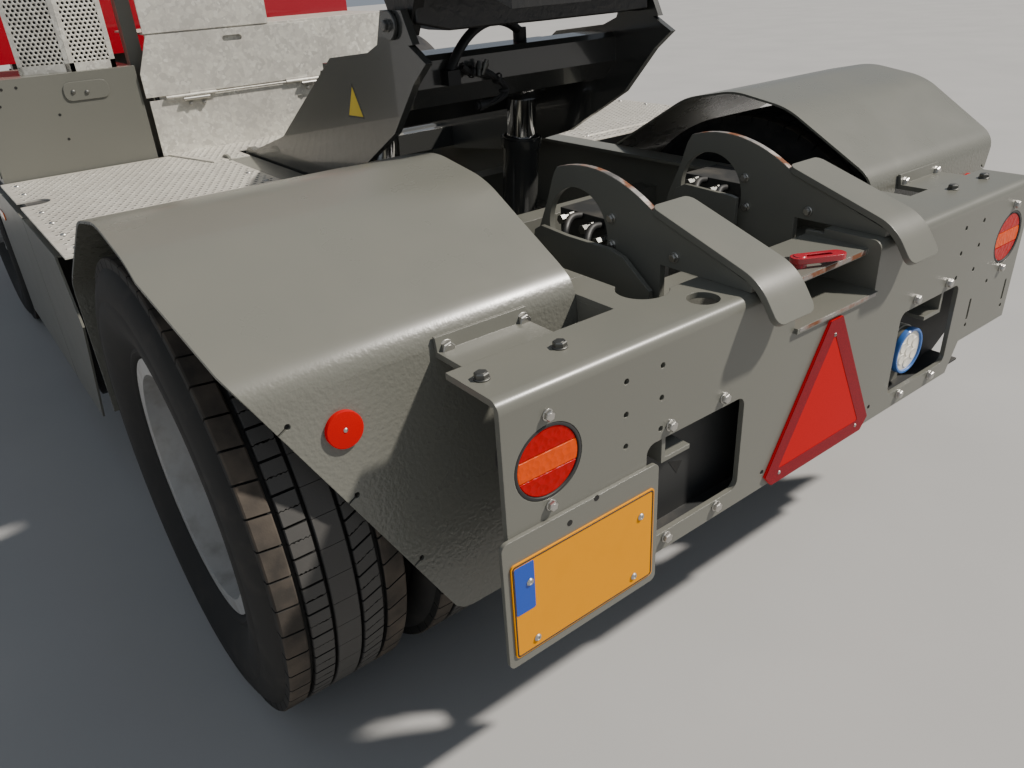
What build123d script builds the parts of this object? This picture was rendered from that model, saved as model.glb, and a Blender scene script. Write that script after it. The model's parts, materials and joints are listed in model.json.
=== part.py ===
"""Terminal tractor with a lifting fifth wheel, twin rear tyres and a one-man cab set to the left.

The frame is +X forward, +Y to the left and +Z up, in millimetres, with z = 0 where the tyres stand.
Stations run forward from the rear beam's rear face and heights run up from its top, so the planes
side, back and plan all start at that edge.
"""
import os
from math import atan2, cos, degrees, radians, sin, tan

from build123d import *

os.makedirs("parts", exist_ok=True)

# Driving dimensions of the vehicle
ramp_reach = 63
rear_overhang = 745
wheelbase = 3060
frame_over_axle = 395
cab_setback = 685
cab_length = 1900
bumper_gap = 55
bumper_depth = 212

# Clearances: of a fixed joint, a running fit, a pane in its rebate
running_gap = 0.3
pin_clearance = 0.05
pane_gap = 0.2

# Wheels
tyre_radius = 515
tyre_sides = 48
tyre_half_width = 149
tread_half_width = 120
bead_radius = 288
bead_half_width = 104
rim_flange_radius = 298
rim_half_width = 114
rim_flange = 6
rim_well_radius = 262
outer_twin_y = 1100
twin_spacing = 332
front_wheel_y = 1085
disc_thickness = 12
hub_bore_radius = 112
hand_hole_radius = 22
hand_hole_circle = 226
hand_holes = 8

# Steering knuckles and axles
kingpin_y = 930
kingpin_radius = 20
kingpin_boss_radius = 42
boss_half_height = 45
fork_arm = 50
fork_gap = 0.5
stub_radius = 45
rear_tube_radius = 75
differential_radius = 185
differential_half = 110
shaft_radius = 48
spring_height = 60

# Frame rails
rail_outer_y = 520
rail_flange = 80
rail_wall = 10
rail_height = 280
rail_gap = 35

# Rear beam
beam_half_width = 895
beam_drop = 481
beam_plate = 12
beam_flange = 142
rail_cap = 316
beam_bend = 22
wing_drop = 398
wing_y = 640
wing_slope = 40
lip_depth = 90
lip_sheet = 10
window_inner_y = 293
window_outer_y = 573
window_top = 214
window_bottom = 438
window_round = 22
lamp_drop = 144
lamp_hole_radius = 72
lamp_inset = 6
lamp_depth = 44
work_lamp_depth = 60
top_hole_y = 367
top_hole_station = 60
top_hole_radius = 32
notch_centre = 175
notch_y = 412
notch_radius = 54
pocket_half_width = 148
pocket_depth = 112
pocket_reach = 190
shelf_sheet = 12
shelf_lip = 8
drawbar_pin_radius = 24
drawbar_pin_station = 105
drawbar_pin_y = 30

# Mudguards, with outlines over the tyre's top and behind or ahead of the axle
guard_inner_y = 520.5
guard_outer_y = 1245
guard_sheet = 6
guard_rear_reach = 494
guard_front_reach = 575
guard_bend_drop = 93
guard_lean = 6
guard_corner_y = 1200
guard_tip_outer_y = 850
guard_tip_drop = 740
guard_front_drop = 550
slit_length = 22
slit_width = 5
slit_hole_radius = 6

# Ramps
ramp_width = 118
ramp_inner_y = 174
ramp_web = 28
ramp_web_inset = 6
ramp_corner = 20

# Deck, skirts and the boxes below them
deck_sheet = 6
deck_rear_station = 1330
deck_to_cab = 680
deck_y = 1240
notch_station = 2048
notch_width = 84
notch_depth = 92
skirt_rear_station = 1400
skirt_split_station = 2020
skirt_split = 8
skirt_top = -35
skirt_bottom = -590
skirt_sheet = 6
skirt_lip = 26
skirt_y = 1245
tank_rear_station = 1700
tank_bottom = -550

# Boxes and plates behind the cab
cabinet_inner_y = 700
cabinet_outer_y = 1225
cabinet_top = 329.7
cover_height = 208
cover_knuckle = 6
cover_pin = 3
cover_sheet = 4
cover_left_y = 690
cover_right_y = -60
plate_sheet = 6
exhaust_y = 900
exhaust_radius = 75
tailpipe_radius = 50

# Boom and fifth wheel
boom_pivot_height = -45
boom_plate_outer_y = 430
boom_plate = 20
boom_pin_radius = 38
boom_boss_radius = 72
fifth_pivot_station = 1010
fifth_pivot_height = 462
fifth_pin_radius = 25
fifth_plate_height = 530
fifth_plate = 36
hose_radius = 13

# Lift cylinders
cylinder_y = 275
cylinder_foot_station = 1479
cylinder_foot_height = -420
cylinder_head_station = 1411
cylinder_head_height = 225
barrel_radius = 64
barrel_start = 62
barrel_length = 400
barrel_floor = 14
collar_radius = 72
collar_length = 30
rod_radius = 50
rod_length = 465
rod_seal_gap = 0.5
eye_pin_radius = 25
eye_drift = 5
eye_radius = 48
eye_width = 60
rod_neck = 52
lug_gap = 6
lug_plate = 16

# Cab
cab_right_y = -520
cab_left_y = 1150
cab_floor_height = 335
cab_height = 1655
cab_wall = 40
roof_height = 90
windscreen_lean = 130
window_frame = 110
glass_thickness = 6
window_sill = 840
windscreen_sill = 790
quarter_sill = 690
door_offset = 110
door_width = 780
door_sill = 60
door_top_gap = 110
door_gap = 6
door_frame = 90
tilt_pivot_setback = 35
tilt_pivot_height = 280
tilt_boss_radius = 30
tilt_pin_radius = 18
tilt_lug_y = 495
tilt_lug = 16
hinge_reach = 10
hinge_radius = 9
hinge_pin_radius = 4
hinge_leaf = 40
step_pitch = 300
step_inner_y = 860
step_outer_y = 1208
engine_length = 1300
engine_half_width = 330

# Sizes that follow from those above
front_axle_station = rear_overhang + wheelbase
cab_rear_station = front_axle_station - cab_setback
cab_front_station = cab_rear_station + cab_length
cab_roof_height = cab_floor_height + cab_height
bumper_rear_station = cab_front_station + bumper_gap
bumper_front_station = bumper_rear_station + bumper_depth
overall_length = bumper_front_station + ramp_reach
beam_top = tyre_radius + frame_over_axle
beam_face_x = ramp_reach - overall_length / 2
rear_axle_x = beam_face_x + rear_overhang
front_axle_x = beam_face_x + front_axle_station
axle_z = tyre_radius
axle_height = -frame_over_axle
lamp_y = beam_half_width - 93
plate_y = beam_half_width - 164
bracket_y = beam_half_width - 163.5
inner_slot_y = beam_half_width - 235
outer_slot_y = beam_half_width - 35
tyre_top = axle_height + tyre_radius
rail_inner_y = rail_outer_y - rail_flange
rail_front_station = bumper_rear_station - rail_gap
deck_front_station = cab_rear_station - deck_to_cab
boom_pivot_station = deck_front_station - 253
inner_twin_y = outer_twin_y - twin_spacing
twin_disc_y = (outer_twin_y + inner_twin_y) / 2
guard_rear_station = rear_overhang - guard_rear_reach
guard_front_station = rear_overhang + guard_front_reach
guard_bend_height = tyre_top - guard_bend_drop
guard_slant = tan(radians(guard_lean))
cover_station = deck_front_station - 2
door_rear_station = cab_rear_station + door_offset
door_front_station = door_rear_station + door_width
hinge_station = door_front_station - door_gap / 2
tilt_pivot_station = cab_front_station - tilt_pivot_setback
gearbox_station = cab_rear_station - 420
engine_station = cab_rear_station - 70
boom_plate_inner_y = boom_plate_outer_y - boom_plate

side = Plane(origin=(beam_face_x, 0, beam_top), x_dir=(1, 0, 0), z_dir=(0, -1, 0))
back = Plane(origin=(beam_face_x, 0, beam_top), x_dir=(0, 1, 0), z_dir=(1, 0, 0))
plan = Plane(origin=(beam_face_x, 0, beam_top), x_dir=(1, 0, 0), z_dir=(0, 0, 1))
guard_back = Plane(
    origin=(beam_face_x + guard_rear_station, 0, beam_top + guard_bend_height),
    x_dir=(0, 1, 0),
    z_dir=(cos(radians(guard_lean)), 0, -sin(radians(guard_lean))),
)


def span(points, low, high, round_corners=0):
    """Extrude a closed side outline of (station, height) pairs from y = low to y = high."""
    with BuildPart() as piece:
        with BuildSketch(side.offset(-high)):
            with BuildLine():
                Polyline(*points, close=True)
            make_face()
            if round_corners:
                fillet(vertices(), round_corners)
        extrude(amount=high - low)
    return piece.part


def block(rear, front, y_low, y_high, low, high):
    """A plain cuboid between two stations, two y values and two heights."""
    with BuildPart() as piece:
        with BuildSketch(plan.offset(low)):
            with Locations(((rear + front) / 2, (y_low + y_high) / 2)):
                Rectangle(front - rear, y_high - y_low)
        extrude(amount=high - low)
    return piece.part


def post(station, y, radius, low, high):
    """An upright round bar."""
    with BuildPart() as piece:
        with BuildSketch(plan.offset(low)):
            with Locations((station, y)):
                Circle(radius)
        extrude(amount=high - low)
    return piece.part


def round_bar(station, y_low, y_high, height, radius):
    """A round bar across the vehicle."""
    with BuildPart() as piece:
        with BuildSketch(side.offset(-y_high)):
            with Locations((station, height)):
                Circle(radius)
        extrude(amount=y_high - y_low)
    return piece.part


def pair(low, high, hand):
    """The two y values of a span on the left (hand 1), or mirrored to the right (hand -1)."""
    return tuple(sorted((hand * low, hand * high)))


def turned(profile, axle, y_centre, outward):
    """Revolve a closed outline of (offset, radius) pairs about a wheel's axle."""
    with BuildPart() as piece:
        with BuildSketch(Plane(origin=(axle, y_centre, axle_z), x_dir=(0, outward, 0), z_dir=(-outward, 0, 0))):
            with BuildLine():
                Polyline(*profile, close=True)
            make_face()
        revolve(axis=Axis((axle, y_centre, axle_z), (0, 1, 0)))
    return piece.part


# Frame rails with their cross-members
with BuildPart() as frame:
    for hand in (1, -1):
        rail_y = pair(rail_inner_y, rail_outer_y, hand)
        add(block(beam_plate, rail_front_station, *rail_y, -rail_height, 0))
        # the rails' open side is to the middle
        hollow_y = pair(rail_inner_y - 1, rail_outer_y - rail_wall, hand)
        add(
            block(0, rail_front_station + 1, *hollow_y, rail_wall - rail_height, -rail_wall),
            mode=Mode.SUBTRACT,
        )
    # station, lower and upper height and length of each cross-member
    inside = rail_outer_y - rail_wall
    for station, low, high, length in (
        (330, -270, -130, 90),
        (1000, -230, -110, 80),
        (1720, -270, -150, 90),
        (deck_front_station - 20, -270, -110, 90),
        (cab_front_station - 140, -270, -110, 90),
    ):
        add(block(station, station + length, -inside, inside, low, high))
    # rebate for the beam's top flange and its caps on the rails
    add(block(0, rail_cap, -rail_outer_y, rail_outer_y, -beam_plate, 1), mode=Mode.SUBTRACT)
    # bores of the boom's pivot shaft
    add(
        round_bar(boom_pivot_station, -rail_outer_y, rail_outer_y, boom_pivot_height, boom_pin_radius),
        mode=Mode.SUBTRACT,
    )
frame.part.label = "frame"
export_step(frame.part, "parts/frame.step")

# Rear beam: one bent plate with wings, windows, lamp holes, bolt holes and the coupling pocket
with BuildPart() as rear_beam:
    with BuildSketch(side.offset(-beam_half_width)):
        with BuildLine():
            Polyline(
                (0, -beam_drop),
                (0, 0),
                (beam_flange, 0),
                (beam_flange, -beam_plate),
                (beam_plate, -beam_plate),
                (beam_plate, -beam_drop),
                close=True,
            )
        make_face()
        fillet(vertices().sort_by_distance((0, 0))[0], beam_bend)
    extrude(amount=2 * beam_half_width)
    for hand in (1, -1):
        add(block(beam_flange, rail_cap, *pair(rail_inner_y, rail_outer_y, hand), -beam_plate, 0))
    with BuildSketch(back):
        for hand in (1, -1):
            with Locations((hand * (window_inner_y + window_outer_y) / 2, -(window_top + window_bottom) / 2)):
                RectangleRounded(window_outer_y - window_inner_y, window_bottom - window_top, window_round)
            with Locations((hand * lamp_y, -lamp_drop)):
                Circle(lamp_hole_radius)
            with BuildLine():
                Polyline(
                    (hand * (wing_y - wing_slope), -beam_drop),
                    (hand * wing_y, -wing_drop),
                    (hand * beam_half_width, -wing_drop),
                    (hand * beam_half_width, -beam_drop),
                    close=True,
                )
            make_face()
        # grids of holes inside the lamps
        with Locations(*((y, height) for y in (-633, -542, 538, 627) for height in (-60, -125, -190))):
            Circle(6)
        # upright slots on the right, with the holes round them
        with Locations((-inner_slot_y, -310), (-outer_slot_y, -308)):
            SlotOverall(62, 10, rotation=90)
        with Locations((-inner_slot_y - 1, -356), (-outer_slot_y - 3, -357), (-732, -249), (207, -439), (-213, -438)):
            Circle(6)
    extrude(amount=beam_plate, mode=Mode.SUBTRACT)
    with BuildSketch(back):
        with Locations((0, -pocket_depth / 2)):
            Rectangle(2 * pocket_half_width, pocket_depth)
    extrude(amount=beam_flange, mode=Mode.SUBTRACT)
    add(post(top_hole_station, top_hole_y, top_hole_radius, -beam_plate, 0), mode=Mode.SUBTRACT)
    # round notches in the flange's front edge, beside the rails' caps
    for y in (-notch_y, notch_y):
        add(post(notch_centre, y, notch_radius, -beam_plate, 0), mode=Mode.SUBTRACT)
    # lower lip between the wings
    lip_y = wing_y - wing_slope - 20
    add(block(beam_plate, lip_depth, -lip_y, lip_y, -beam_drop, lip_sheet - beam_drop))
    # pocket: two cheeks and two shelves, the lower one reaching out past the beam's face
    shelf_low = -pocket_depth - shelf_sheet
    shelf_y = (-pocket_half_width, pocket_half_width)
    for hand in (1, -1):
        cheek_y = pair(pocket_half_width, pocket_half_width + shelf_sheet, hand)
        add(block(beam_plate, pocket_reach, *cheek_y, shelf_low - 16, -beam_plate))
    add(block(-shelf_lip, pocket_reach, *shelf_y, shelf_low, -pocket_depth))
    add(block(30, pocket_reach, *shelf_y, -36, -22))
    add(
        post(drawbar_pin_station, drawbar_pin_y, drawbar_pin_radius, shelf_low, 0),
        mode=Mode.SUBTRACT,
    )
rear_beam.part.label = "rear_beam"
export_step(rear_beam.part, "parts/rear_beam.step")

# Coupling pin with its slotted lever
with BuildPart() as coupling_pin:
    with BuildSketch(plan.offset(-14)):
        with Locations((80, -45)):
            SlotOverall(160, 40, rotation=90)
        with Locations((70, -75)):
            SlotOverall(60, 16, rotation=90, mode=Mode.SUBTRACT)
    extrude(amount=18)
    add(post(drawbar_pin_station, drawbar_pin_y, drawbar_pin_radius - running_gap, shelf_low, 8))
coupling_pin.part.label = "coupling_pin"
export_step(coupling_pin.part, "parts/coupling_pin.step")

# Rear lamps in the beam and round reflectors on the mudguards
with BuildPart() as rear_lamps:
    for hand in (1, -1):
        with BuildSketch(back.offset(lamp_inset)):
            with Locations((hand * lamp_y, -lamp_drop)):
                Circle(lamp_hole_radius - running_gap)
        extrude(amount=lamp_depth)
        with BuildSketch(guard_back.offset(-12)):
            with Locations((hand * 1040, -120)):
                Circle(40)
        extrude(amount=11.9)
rear_lamps.part.label = "rear_lamps"
export_step(rear_lamps.part, "parts/rear_lamps.step")

with BuildPart() as warning_triangle:
    with BuildSketch(back.offset(-6)):
        with BuildLine():
            Polyline((-200, -455), (-175, -485), (175, -485), (200, -455), (22, -134), (-22, -134), close=True)
        make_face()
    extrude(amount=6)
warning_triangle.part.label = "warning_triangle"
export_step(warning_triangle.part, "parts/warning_triangle.step")

with BuildPart() as plate_bracket:
    with BuildSketch(back.offset(-8)):
        with Locations((bracket_y, -395)):
            RectangleRounded(367, 280, 14)
    extrude(amount=8)
plate_bracket.part.label = "plate_bracket"
export_step(plate_bracket.part, "parts/plate_bracket.step")

with BuildPart() as licence_plate:
    with BuildSketch(back.offset(-11)):
        with Locations((plate_y, -409)):
            RectangleRounded(340, 210, 8)
    extrude(amount=3)
licence_plate.part.label = "licence_plate"
export_step(licence_plate.part, "parts/licence_plate.step")

# Work lamp in the right window, on a foot that stands on the lower lip
with BuildPart() as work_lamp:
    with BuildSketch(back.offset(34)):
        with Locations((-428, -366)):
            Circle(62)
    extrude(amount=work_lamp_depth)
    add(block(60, 70, -458, -398, lip_sheet + running_gap - beam_drop, -380))
work_lamp.part.label = "work_lamp"
export_step(work_lamp.part, "parts/work_lamp.step")

# Ramps: a bent flat bar with round corners on an upright web, both webs at the bars' left
with BuildPart() as ramps:
    for low in (ramp_inner_y, -ramp_inner_y - ramp_width):
        ramp_y = (low, low + ramp_width)
        bar = ((270, 122), (-8, 28), (-ramp_reach, -44), (13 - ramp_reach, -52), (2, 14), (274, 107))
        with BuildPart() as rounded_bar:
            add(span(bar, *ramp_y))
            with BuildSketch(plan.offset(-100)):
                with Locations(((274 - ramp_reach) / 2, low + ramp_width / 2)):
                    RectangleRounded(274 + ramp_reach, ramp_width, ramp_corner)
            extrude(amount=300, mode=Mode.INTERSECT)
        add(rounded_bar.part)
        with BuildSketch(side.offset(ramp_web_inset - low - ramp_width)):
            with BuildLine():
                Polyline((640, 120), (700, 60), (700, -120), (beam_flange, -120), (beam_flange, 0), (13, 0), (13, 16))
                Line((13, 16), (258, 102))
                ThreePointArc((258, 102), (470, 166), (640, 120))
            make_face()
        extrude(amount=ramp_web)
        # window in the web
        add(span(((430, 0), (430, 90), (560, 90), (560, 0)), *ramp_y, 20), mode=Mode.SUBTRACT)
ramps.part.label = "ramps"
export_step(ramps.part, "parts/ramps.step")

# Mudguards: folded sheet, its leaning rear panel cut off on the slant and slit along that edge
guard_outline = (
    (guard_rear_station, guard_bend_height),
    (rear_overhang - 215, tyre_top + 62),
    (rear_overhang - 28, tyre_top + 93),
    (rear_overhang + 155, tyre_top + 60),
    (rear_overhang + 515, tyre_top - 147),
    (guard_front_station, tyre_top - 190),
    (guard_front_station, tyre_top - guard_front_drop),
)
panel_height = guard_tip_drop - guard_bend_drop
for hand, hand_name in ((1, "left"), (-1, "right")):
    with BuildPart() as mudguard:
        panel_foot = (guard_rear_station - guard_slant * panel_height, guard_bend_height - panel_height)
        with BuildSketch(side.offset(-guard_outer_y)):
            with BuildLine():
                Polyline(panel_foot, *guard_outline)
                offset(amount=guard_sheet, side=Side.RIGHT)
            make_face()
        extrude(amount=guard_outer_y - guard_inner_y)
        cut_depth = panel_height + 40
        with BuildSketch(guard_back.offset(-20)):
            with BuildLine():
                Polyline(
                    (guard_corner_y, 0),
                    (guard_outer_y + 5, 0),
                    (guard_outer_y + 5, -cut_depth),
                    (guard_tip_outer_y, -cut_depth),
                    close=True,
                )
            make_face()
            # keyhole slits, each at its share of the slanted edge
            for share in (0.12, 0.39, 0.67):
                edge_y = guard_corner_y - share * (guard_corner_y - guard_tip_outer_y)
                with Locations((edge_y - slit_length / 2, -share * cut_depth)):
                    Rectangle(slit_length + 10, slit_width)
                with Locations((edge_y - slit_length - slit_hole_radius, -share * cut_depth)):
                    Circle(slit_hole_radius)
        extrude(amount=40, mode=Mode.SUBTRACT)
        if hand < 0:
            mirror(about=Plane.XZ, mode=Mode.REPLACE)
    mudguard.part.label = f"mudguard_{hand_name}"
    export_step(mudguard.part, f"parts/mudguard_{hand_name}.step")

# Angle brackets from the beam's top to the mudguards
with BuildPart() as guard_brackets:
    for hand in (1, -1):
        panel_at_top = guard_rear_station - running_gap - guard_slant * (guard_bend_height - 14)
        panel_at_foot = guard_rear_station - running_gap - guard_slant * (guard_bend_height + 24)
        angle = (
            (panel_at_top - 7, 14),
            (panel_at_top, 14),
            (panel_at_foot, -24),
            (60, -24),
            (60, -beam_plate - running_gap),
            (panel_at_foot - 8, -beam_plate - running_gap),
        )
        add(span(angle, *pair(650, 850, hand)))
guard_brackets.part.label = "guard_brackets"
export_step(guard_brackets.part, "parts/guard_brackets.step")

# Deck plates beside the frame, each with a round-ended notch in its outer edge
with BuildPart() as deck_plates:
    for hand in (1, -1):
        add(block(deck_rear_station, deck_front_station, *pair(rail_outer_y + 1, deck_y, hand), -deck_sheet, 0))
        with BuildSketch(plan.offset(-deck_sheet)):
            with Locations((notch_station, hand * deck_y)):
                SlotOverall(2 * notch_depth, notch_width, rotation=90)
        extrude(amount=deck_sheet, mode=Mode.SUBTRACT)
deck_plates.part.label = "deck_plates"
export_step(deck_plates.part, "parts/deck_plates.step")

# Side skirts: a rear and a front panel on each side, with a lip folded in at the top
with BuildPart() as side_skirts:
    skirt_front_station = cab_rear_station - 250
    rear_panel_front = skirt_split_station - skirt_split
    rear_panel = (
        (skirt_rear_station + 95, skirt_top),
        (rear_panel_front, skirt_top),
        (rear_panel_front, skirt_bottom),
        (skirt_rear_station + 250, skirt_bottom),
        (skirt_rear_station, -210),
    )
    for hand in (1, -1):
        sheet_y = pair(skirt_y - skirt_sheet, skirt_y, hand)
        lip_y = pair(skirt_y - skirt_lip, skirt_y, hand)
        add(span(rear_panel, *sheet_y))
        add(block(skirt_split_station, skirt_front_station, *sheet_y, skirt_bottom, skirt_top))
        for lip_rear, lip_front in (
            (skirt_rear_station + 95, rear_panel_front),
            (skirt_split_station, skirt_front_station),
        ):
            add(block(lip_rear, lip_front, *lip_y, skirt_top - skirt_sheet, skirt_top))
side_skirts.part.label = "side_skirts"
export_step(side_skirts.part, "parts/side_skirts.step")

# Tanks behind the skirts, hung from the rails
with BuildPart() as side_tanks:
    tank_front_station = cab_rear_station - 280
    tank_top = -deck_sheet - running_gap
    for hand in (1, -1):
        tank_y = pair(rail_outer_y + running_gap, skirt_y - skirt_lip - running_gap, hand)
        outline = (
            (tank_rear_station, tank_top),
            (tank_front_station, tank_top),
            (tank_front_station, tank_bottom),
            (tank_rear_station, tank_bottom),
        )
        add(span(outline, *tank_y, 30))
side_tanks.part.label = "side_tanks"
export_step(side_tanks.part, "parts/side_tanks.step")

# Cabinet behind the cab, on the left
riser_station = deck_front_station + 6
wall_station = riser_station + plate_sheet
cabinet_front_station = cab_rear_station - 240
with BuildPart() as side_cabinet:
    cabinet_rear = wall_station + running_gap
    add(block(cabinet_rear, cabinet_front_station, cabinet_inner_y, cabinet_outer_y, -deck_sheet, cabinet_top))
side_cabinet.part.label = "side_cabinet"
export_step(side_cabinet.part, "parts/side_cabinet.step")

# Galvanised floor, riser and upper plate behind the cab
with BuildPart() as rear_steps:
    with BuildSketch(plan.offset(running_gap)):
        with BuildLine():
            Polyline(
                (wall_station, 100),
                (wall_station, 665),
                (wall_station - 302, 585),
                (wall_station - 302, 450),
                (boom_pivot_station + 98, 450),
                (boom_pivot_station + 98, 100),
                close=True,
            )
        make_face()
    extrude(amount=5)
    add(block(riser_station, wall_station, 100, 680, running_gap, 202))
    add(block(riser_station, wall_station, -120, 100, 150, 202))
    add(block(wall_station, cabinet_front_station, -380, 640, 426, 432))
    add(block(wall_station, wall_station + plate_sheet, -380, 640, running_gap, 426))
    add(block(riser_station, wall_station, 170, 645, 430, 650))
    # fixed knuckles and pin of the cover's hinge
    for low, high in ((0, 39.7), (530.3, 620)):
        add(block(cover_station, wall_station, low, high, cover_height - 14, cover_height))
        add(round_bar(cover_station, low, high, cover_height, cover_knuckle))
    add(round_bar(cover_station, 10, 600, cover_height, cover_pin))
rear_steps.part.label = "rear_steps"
export_step(rear_steps.part, "parts/rear_steps.step")

# Hinged cover with a handle slot and slanted upper corners
with BuildPart() as cover_lid:
    lid_rear = cover_station + 3
    lid_low = cover_height + 7
    with BuildSketch(back.offset(lid_rear)):
        with BuildLine():
            Polyline(
                (cover_left_y, lid_low),
                (cover_left_y, lid_low + 84),
                (cover_left_y - 50, lid_low + 209),
                (cover_right_y + 60, lid_low + 209),
                (cover_right_y, lid_low + 144),
                (cover_right_y, lid_low),
                close=True,
            )
        make_face()
        with Locations((325, lid_low + 175)):
            SlotOverall(76, 20, mode=Mode.SUBTRACT)
    extrude(amount=cover_sheet)
    for low, high in ((40, 140), (430, 530)):
        add(block(cover_station, lid_rear + cover_sheet, low, high, cover_height, cover_height + 12))
        add(round_bar(cover_station, low, high, cover_height, cover_knuckle))
        add(round_bar(cover_station, low, high, cover_height, cover_pin + pin_clearance), mode=Mode.SUBTRACT)
cover_lid.part.label = "cover_lid"
export_step(cover_lid.part, "parts/cover_lid.step")

# Exhaust stack and the bent guard behind it
exhaust_station = deck_front_station + 200
exhaust_foot = cabinet_top + running_gap
stack_height = 885
with BuildPart() as exhaust_stack:
    add(post(exhaust_station, exhaust_y, exhaust_radius, exhaust_foot, exhaust_foot + stack_height))
    add(post(exhaust_station, exhaust_y, tailpipe_radius, exhaust_foot + stack_height, exhaust_foot + 1485))
exhaust_stack.part.label = "exhaust_stack"
export_step(exhaust_stack.part, "parts/exhaust_stack.step")

with BuildPart() as exhaust_guard:
    with BuildSketch(plan.offset(exhaust_foot)):
        with BuildLine():
            fold_station = deck_front_station + 40
            Polyline((fold_station + 60, 1060), (fold_station, 905), (fold_station, 755), (fold_station + 120, 755))
            offset(amount=3, side=Side.LEFT)
        make_face()
    extrude(amount=800)
exhaust_guard.part.label = "exhaust_guard"
export_step(exhaust_guard.part, "parts/exhaust_guard.step")

# Engine with its gearbox, and the slotted grille
with BuildPart() as engine:
    engine_y = (-engine_half_width, engine_half_width)
    add(block(engine_station, engine_station + engine_length, *engine_y, -310, 210))
    fillet(edges().filter_by(Axis.X), 40)
    add(block(gearbox_station, engine_station, -170, 170, -490, -130))
engine.part.label = "engine"
export_step(engine.part, "parts/engine.step")

with BuildPart() as front_grille:
    grille_station = cab_front_station - 60
    grille_y = rail_inner_y - running_gap
    add(block(grille_station, grille_station + 100, -grille_y, grille_y, -90, 190))
    for height in range(-62, 150, 36):
        add(
            block(grille_station + 70, grille_station + 100, 40 - grille_y, grille_y - 40, height, height + 20),
            mode=Mode.SUBTRACT,
        )
front_grille.part.label = "front_grille"
export_step(front_grille.part, "parts/front_grille.step")

# Rear axle: tube, differential, seats under the rails and the propeller shaft
with BuildPart() as rear_axle:
    tube_end = twin_disc_y - 60
    add(round_bar(rear_overhang, -tube_end, tube_end, axle_height, rear_tube_radius))
    with BuildSketch(back.offset(rear_overhang - differential_half)):
        with Locations((0, axle_height)):
            Circle(differential_radius)
    extrude(amount=2 * differential_half)
    for hand in (1, -1):
        seat_y = pair(rail_inner_y, rail_outer_y, hand)
        add(block(rear_overhang - 160, rear_overhang + 160, *seat_y, axle_height - 60, -rail_height))
    with BuildSketch(back.offset(rear_overhang)):
        with Locations((0, axle_height)):
            Circle(shaft_radius)
    extrude(amount=gearbox_station - running_gap - rear_overhang)
rear_axle.part.label = "rear_axle"
export_step(rear_axle.part, "parts/rear_axle.step")

# Front axle: beam, springs under the rails and kingpins
axle_low = axle_height - boss_half_height
axle_high = axle_height + boss_half_height
with BuildPart() as front_axle:
    add(block(front_axle_station - 45, front_axle_station + 45, -kingpin_y, kingpin_y, axle_low, axle_high))
    for hand in (1, -1):
        spring_y = pair(rail_inner_y + 5, rail_outer_y - 5, hand)
        spring_low = axle_high + spring_height
        add(block(front_axle_station - 620, front_axle_station + 620, *spring_y, spring_low, -rail_height))
        add(block(front_axle_station - 90, front_axle_station + 90, *spring_y, axle_high, spring_low))
        add(post(front_axle_station, hand * kingpin_y, kingpin_boss_radius, axle_low, axle_high))
        add(post(front_axle_station, hand * kingpin_y, kingpin_radius, axle_low - fork_arm, axle_high + fork_arm))
front_axle.part.label = "front_axle"
export_step(front_axle.part, "parts/front_axle.step")

# Knuckles: a fork around the axle's end, with a stub for the hub
for hand, hand_name in ((1, "left"), (-1, "right")):
    with BuildPart() as knuckle:
        fork = (front_axle_station - 50, front_axle_station + 50)
        fork_y = pair(kingpin_y - 45, kingpin_y + 80, hand)
        add(block(*fork, *fork_y, axle_low - fork_gap - fork_arm, axle_low - fork_gap))
        add(block(*fork, *fork_y, axle_high + fork_gap, axle_high + fork_gap + fork_arm))
        add(block(*fork, *pair(kingpin_y + 52, kingpin_y + 80, hand), axle_low - 10, axle_high + 10))
        bore_reach = 2 * fork_arm
        add(
            post(
                front_axle_station,
                hand * kingpin_y,
                kingpin_radius + pin_clearance,
                axle_low - bore_reach,
                axle_high + bore_reach,
            ),
            mode=Mode.SUBTRACT,
        )
        stub_y = pair(kingpin_y + 80, front_wheel_y + 73, hand)
        add(round_bar(front_axle_station, *stub_y, axle_height, stub_radius))
    knuckle.part.label = f"knuckle_{hand_name}"
    export_step(knuckle.part, f"parts/knuckle_{hand_name}.step")

def across(axle, y):
    """Plane that looks along Y at a wheel's axle."""
    return Plane(origin=(axle, y, axle_z), x_dir=(1, 0, 0), z_dir=(0, 1, 0))


# Tyre sections across the tread, as (offset from the tyre's middle, radius)
tyre_sections = (
    (-tyre_half_width, 400),
    (20 - tyre_half_width, 470),
    (-tread_half_width, tyre_radius),
    (tread_half_width, tyre_radius),
    (tyre_half_width - 20, 470),
    (tyre_half_width, 400),
)
# A tyre of flat facets that stands on one of them, hollow beside the beads and open for the rim
facet_turn = 180 / tyre_sides
with BuildPart() as plain_tyre:
    for (near, near_radius), (far, far_radius) in zip(tyre_sections, tyre_sections[1:]):
        with BuildSketch(Plane(origin=(0, near, 0), x_dir=(1, 0, 0), z_dir=(0, 1, 0))):
            RegularPolygon(near_radius, tyre_sides, major_radius=False, rotation=facet_turn)
        extrude(amount=far - near, taper=degrees(atan2(near_radius - far_radius, far - near)))
    dish_depth = tyre_half_width - bead_half_width
    for hand in (1, -1):
        inward = Plane(origin=(0, hand * tyre_half_width, 0), x_dir=(1, 0, 0), z_dir=(0, -hand, 0))
        with BuildSketch(inward):
            RegularPolygon(399, tyre_sides, major_radius=False, rotation=facet_turn)
        dish_taper = degrees(atan2(399 - bead_radius - 14, dish_depth))
        extrude(amount=dish_depth, taper=dish_taper, mode=Mode.SUBTRACT)
    with BuildSketch(Plane(origin=(0, -tyre_half_width, 0), x_dir=(1, 0, 0), z_dir=(0, 1, 0))):
        RegularPolygon(bead_radius, tyre_sides, major_radius=False, rotation=facet_turn)
    extrude(amount=2 * tyre_half_width, mode=Mode.SUBTRACT)


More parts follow.
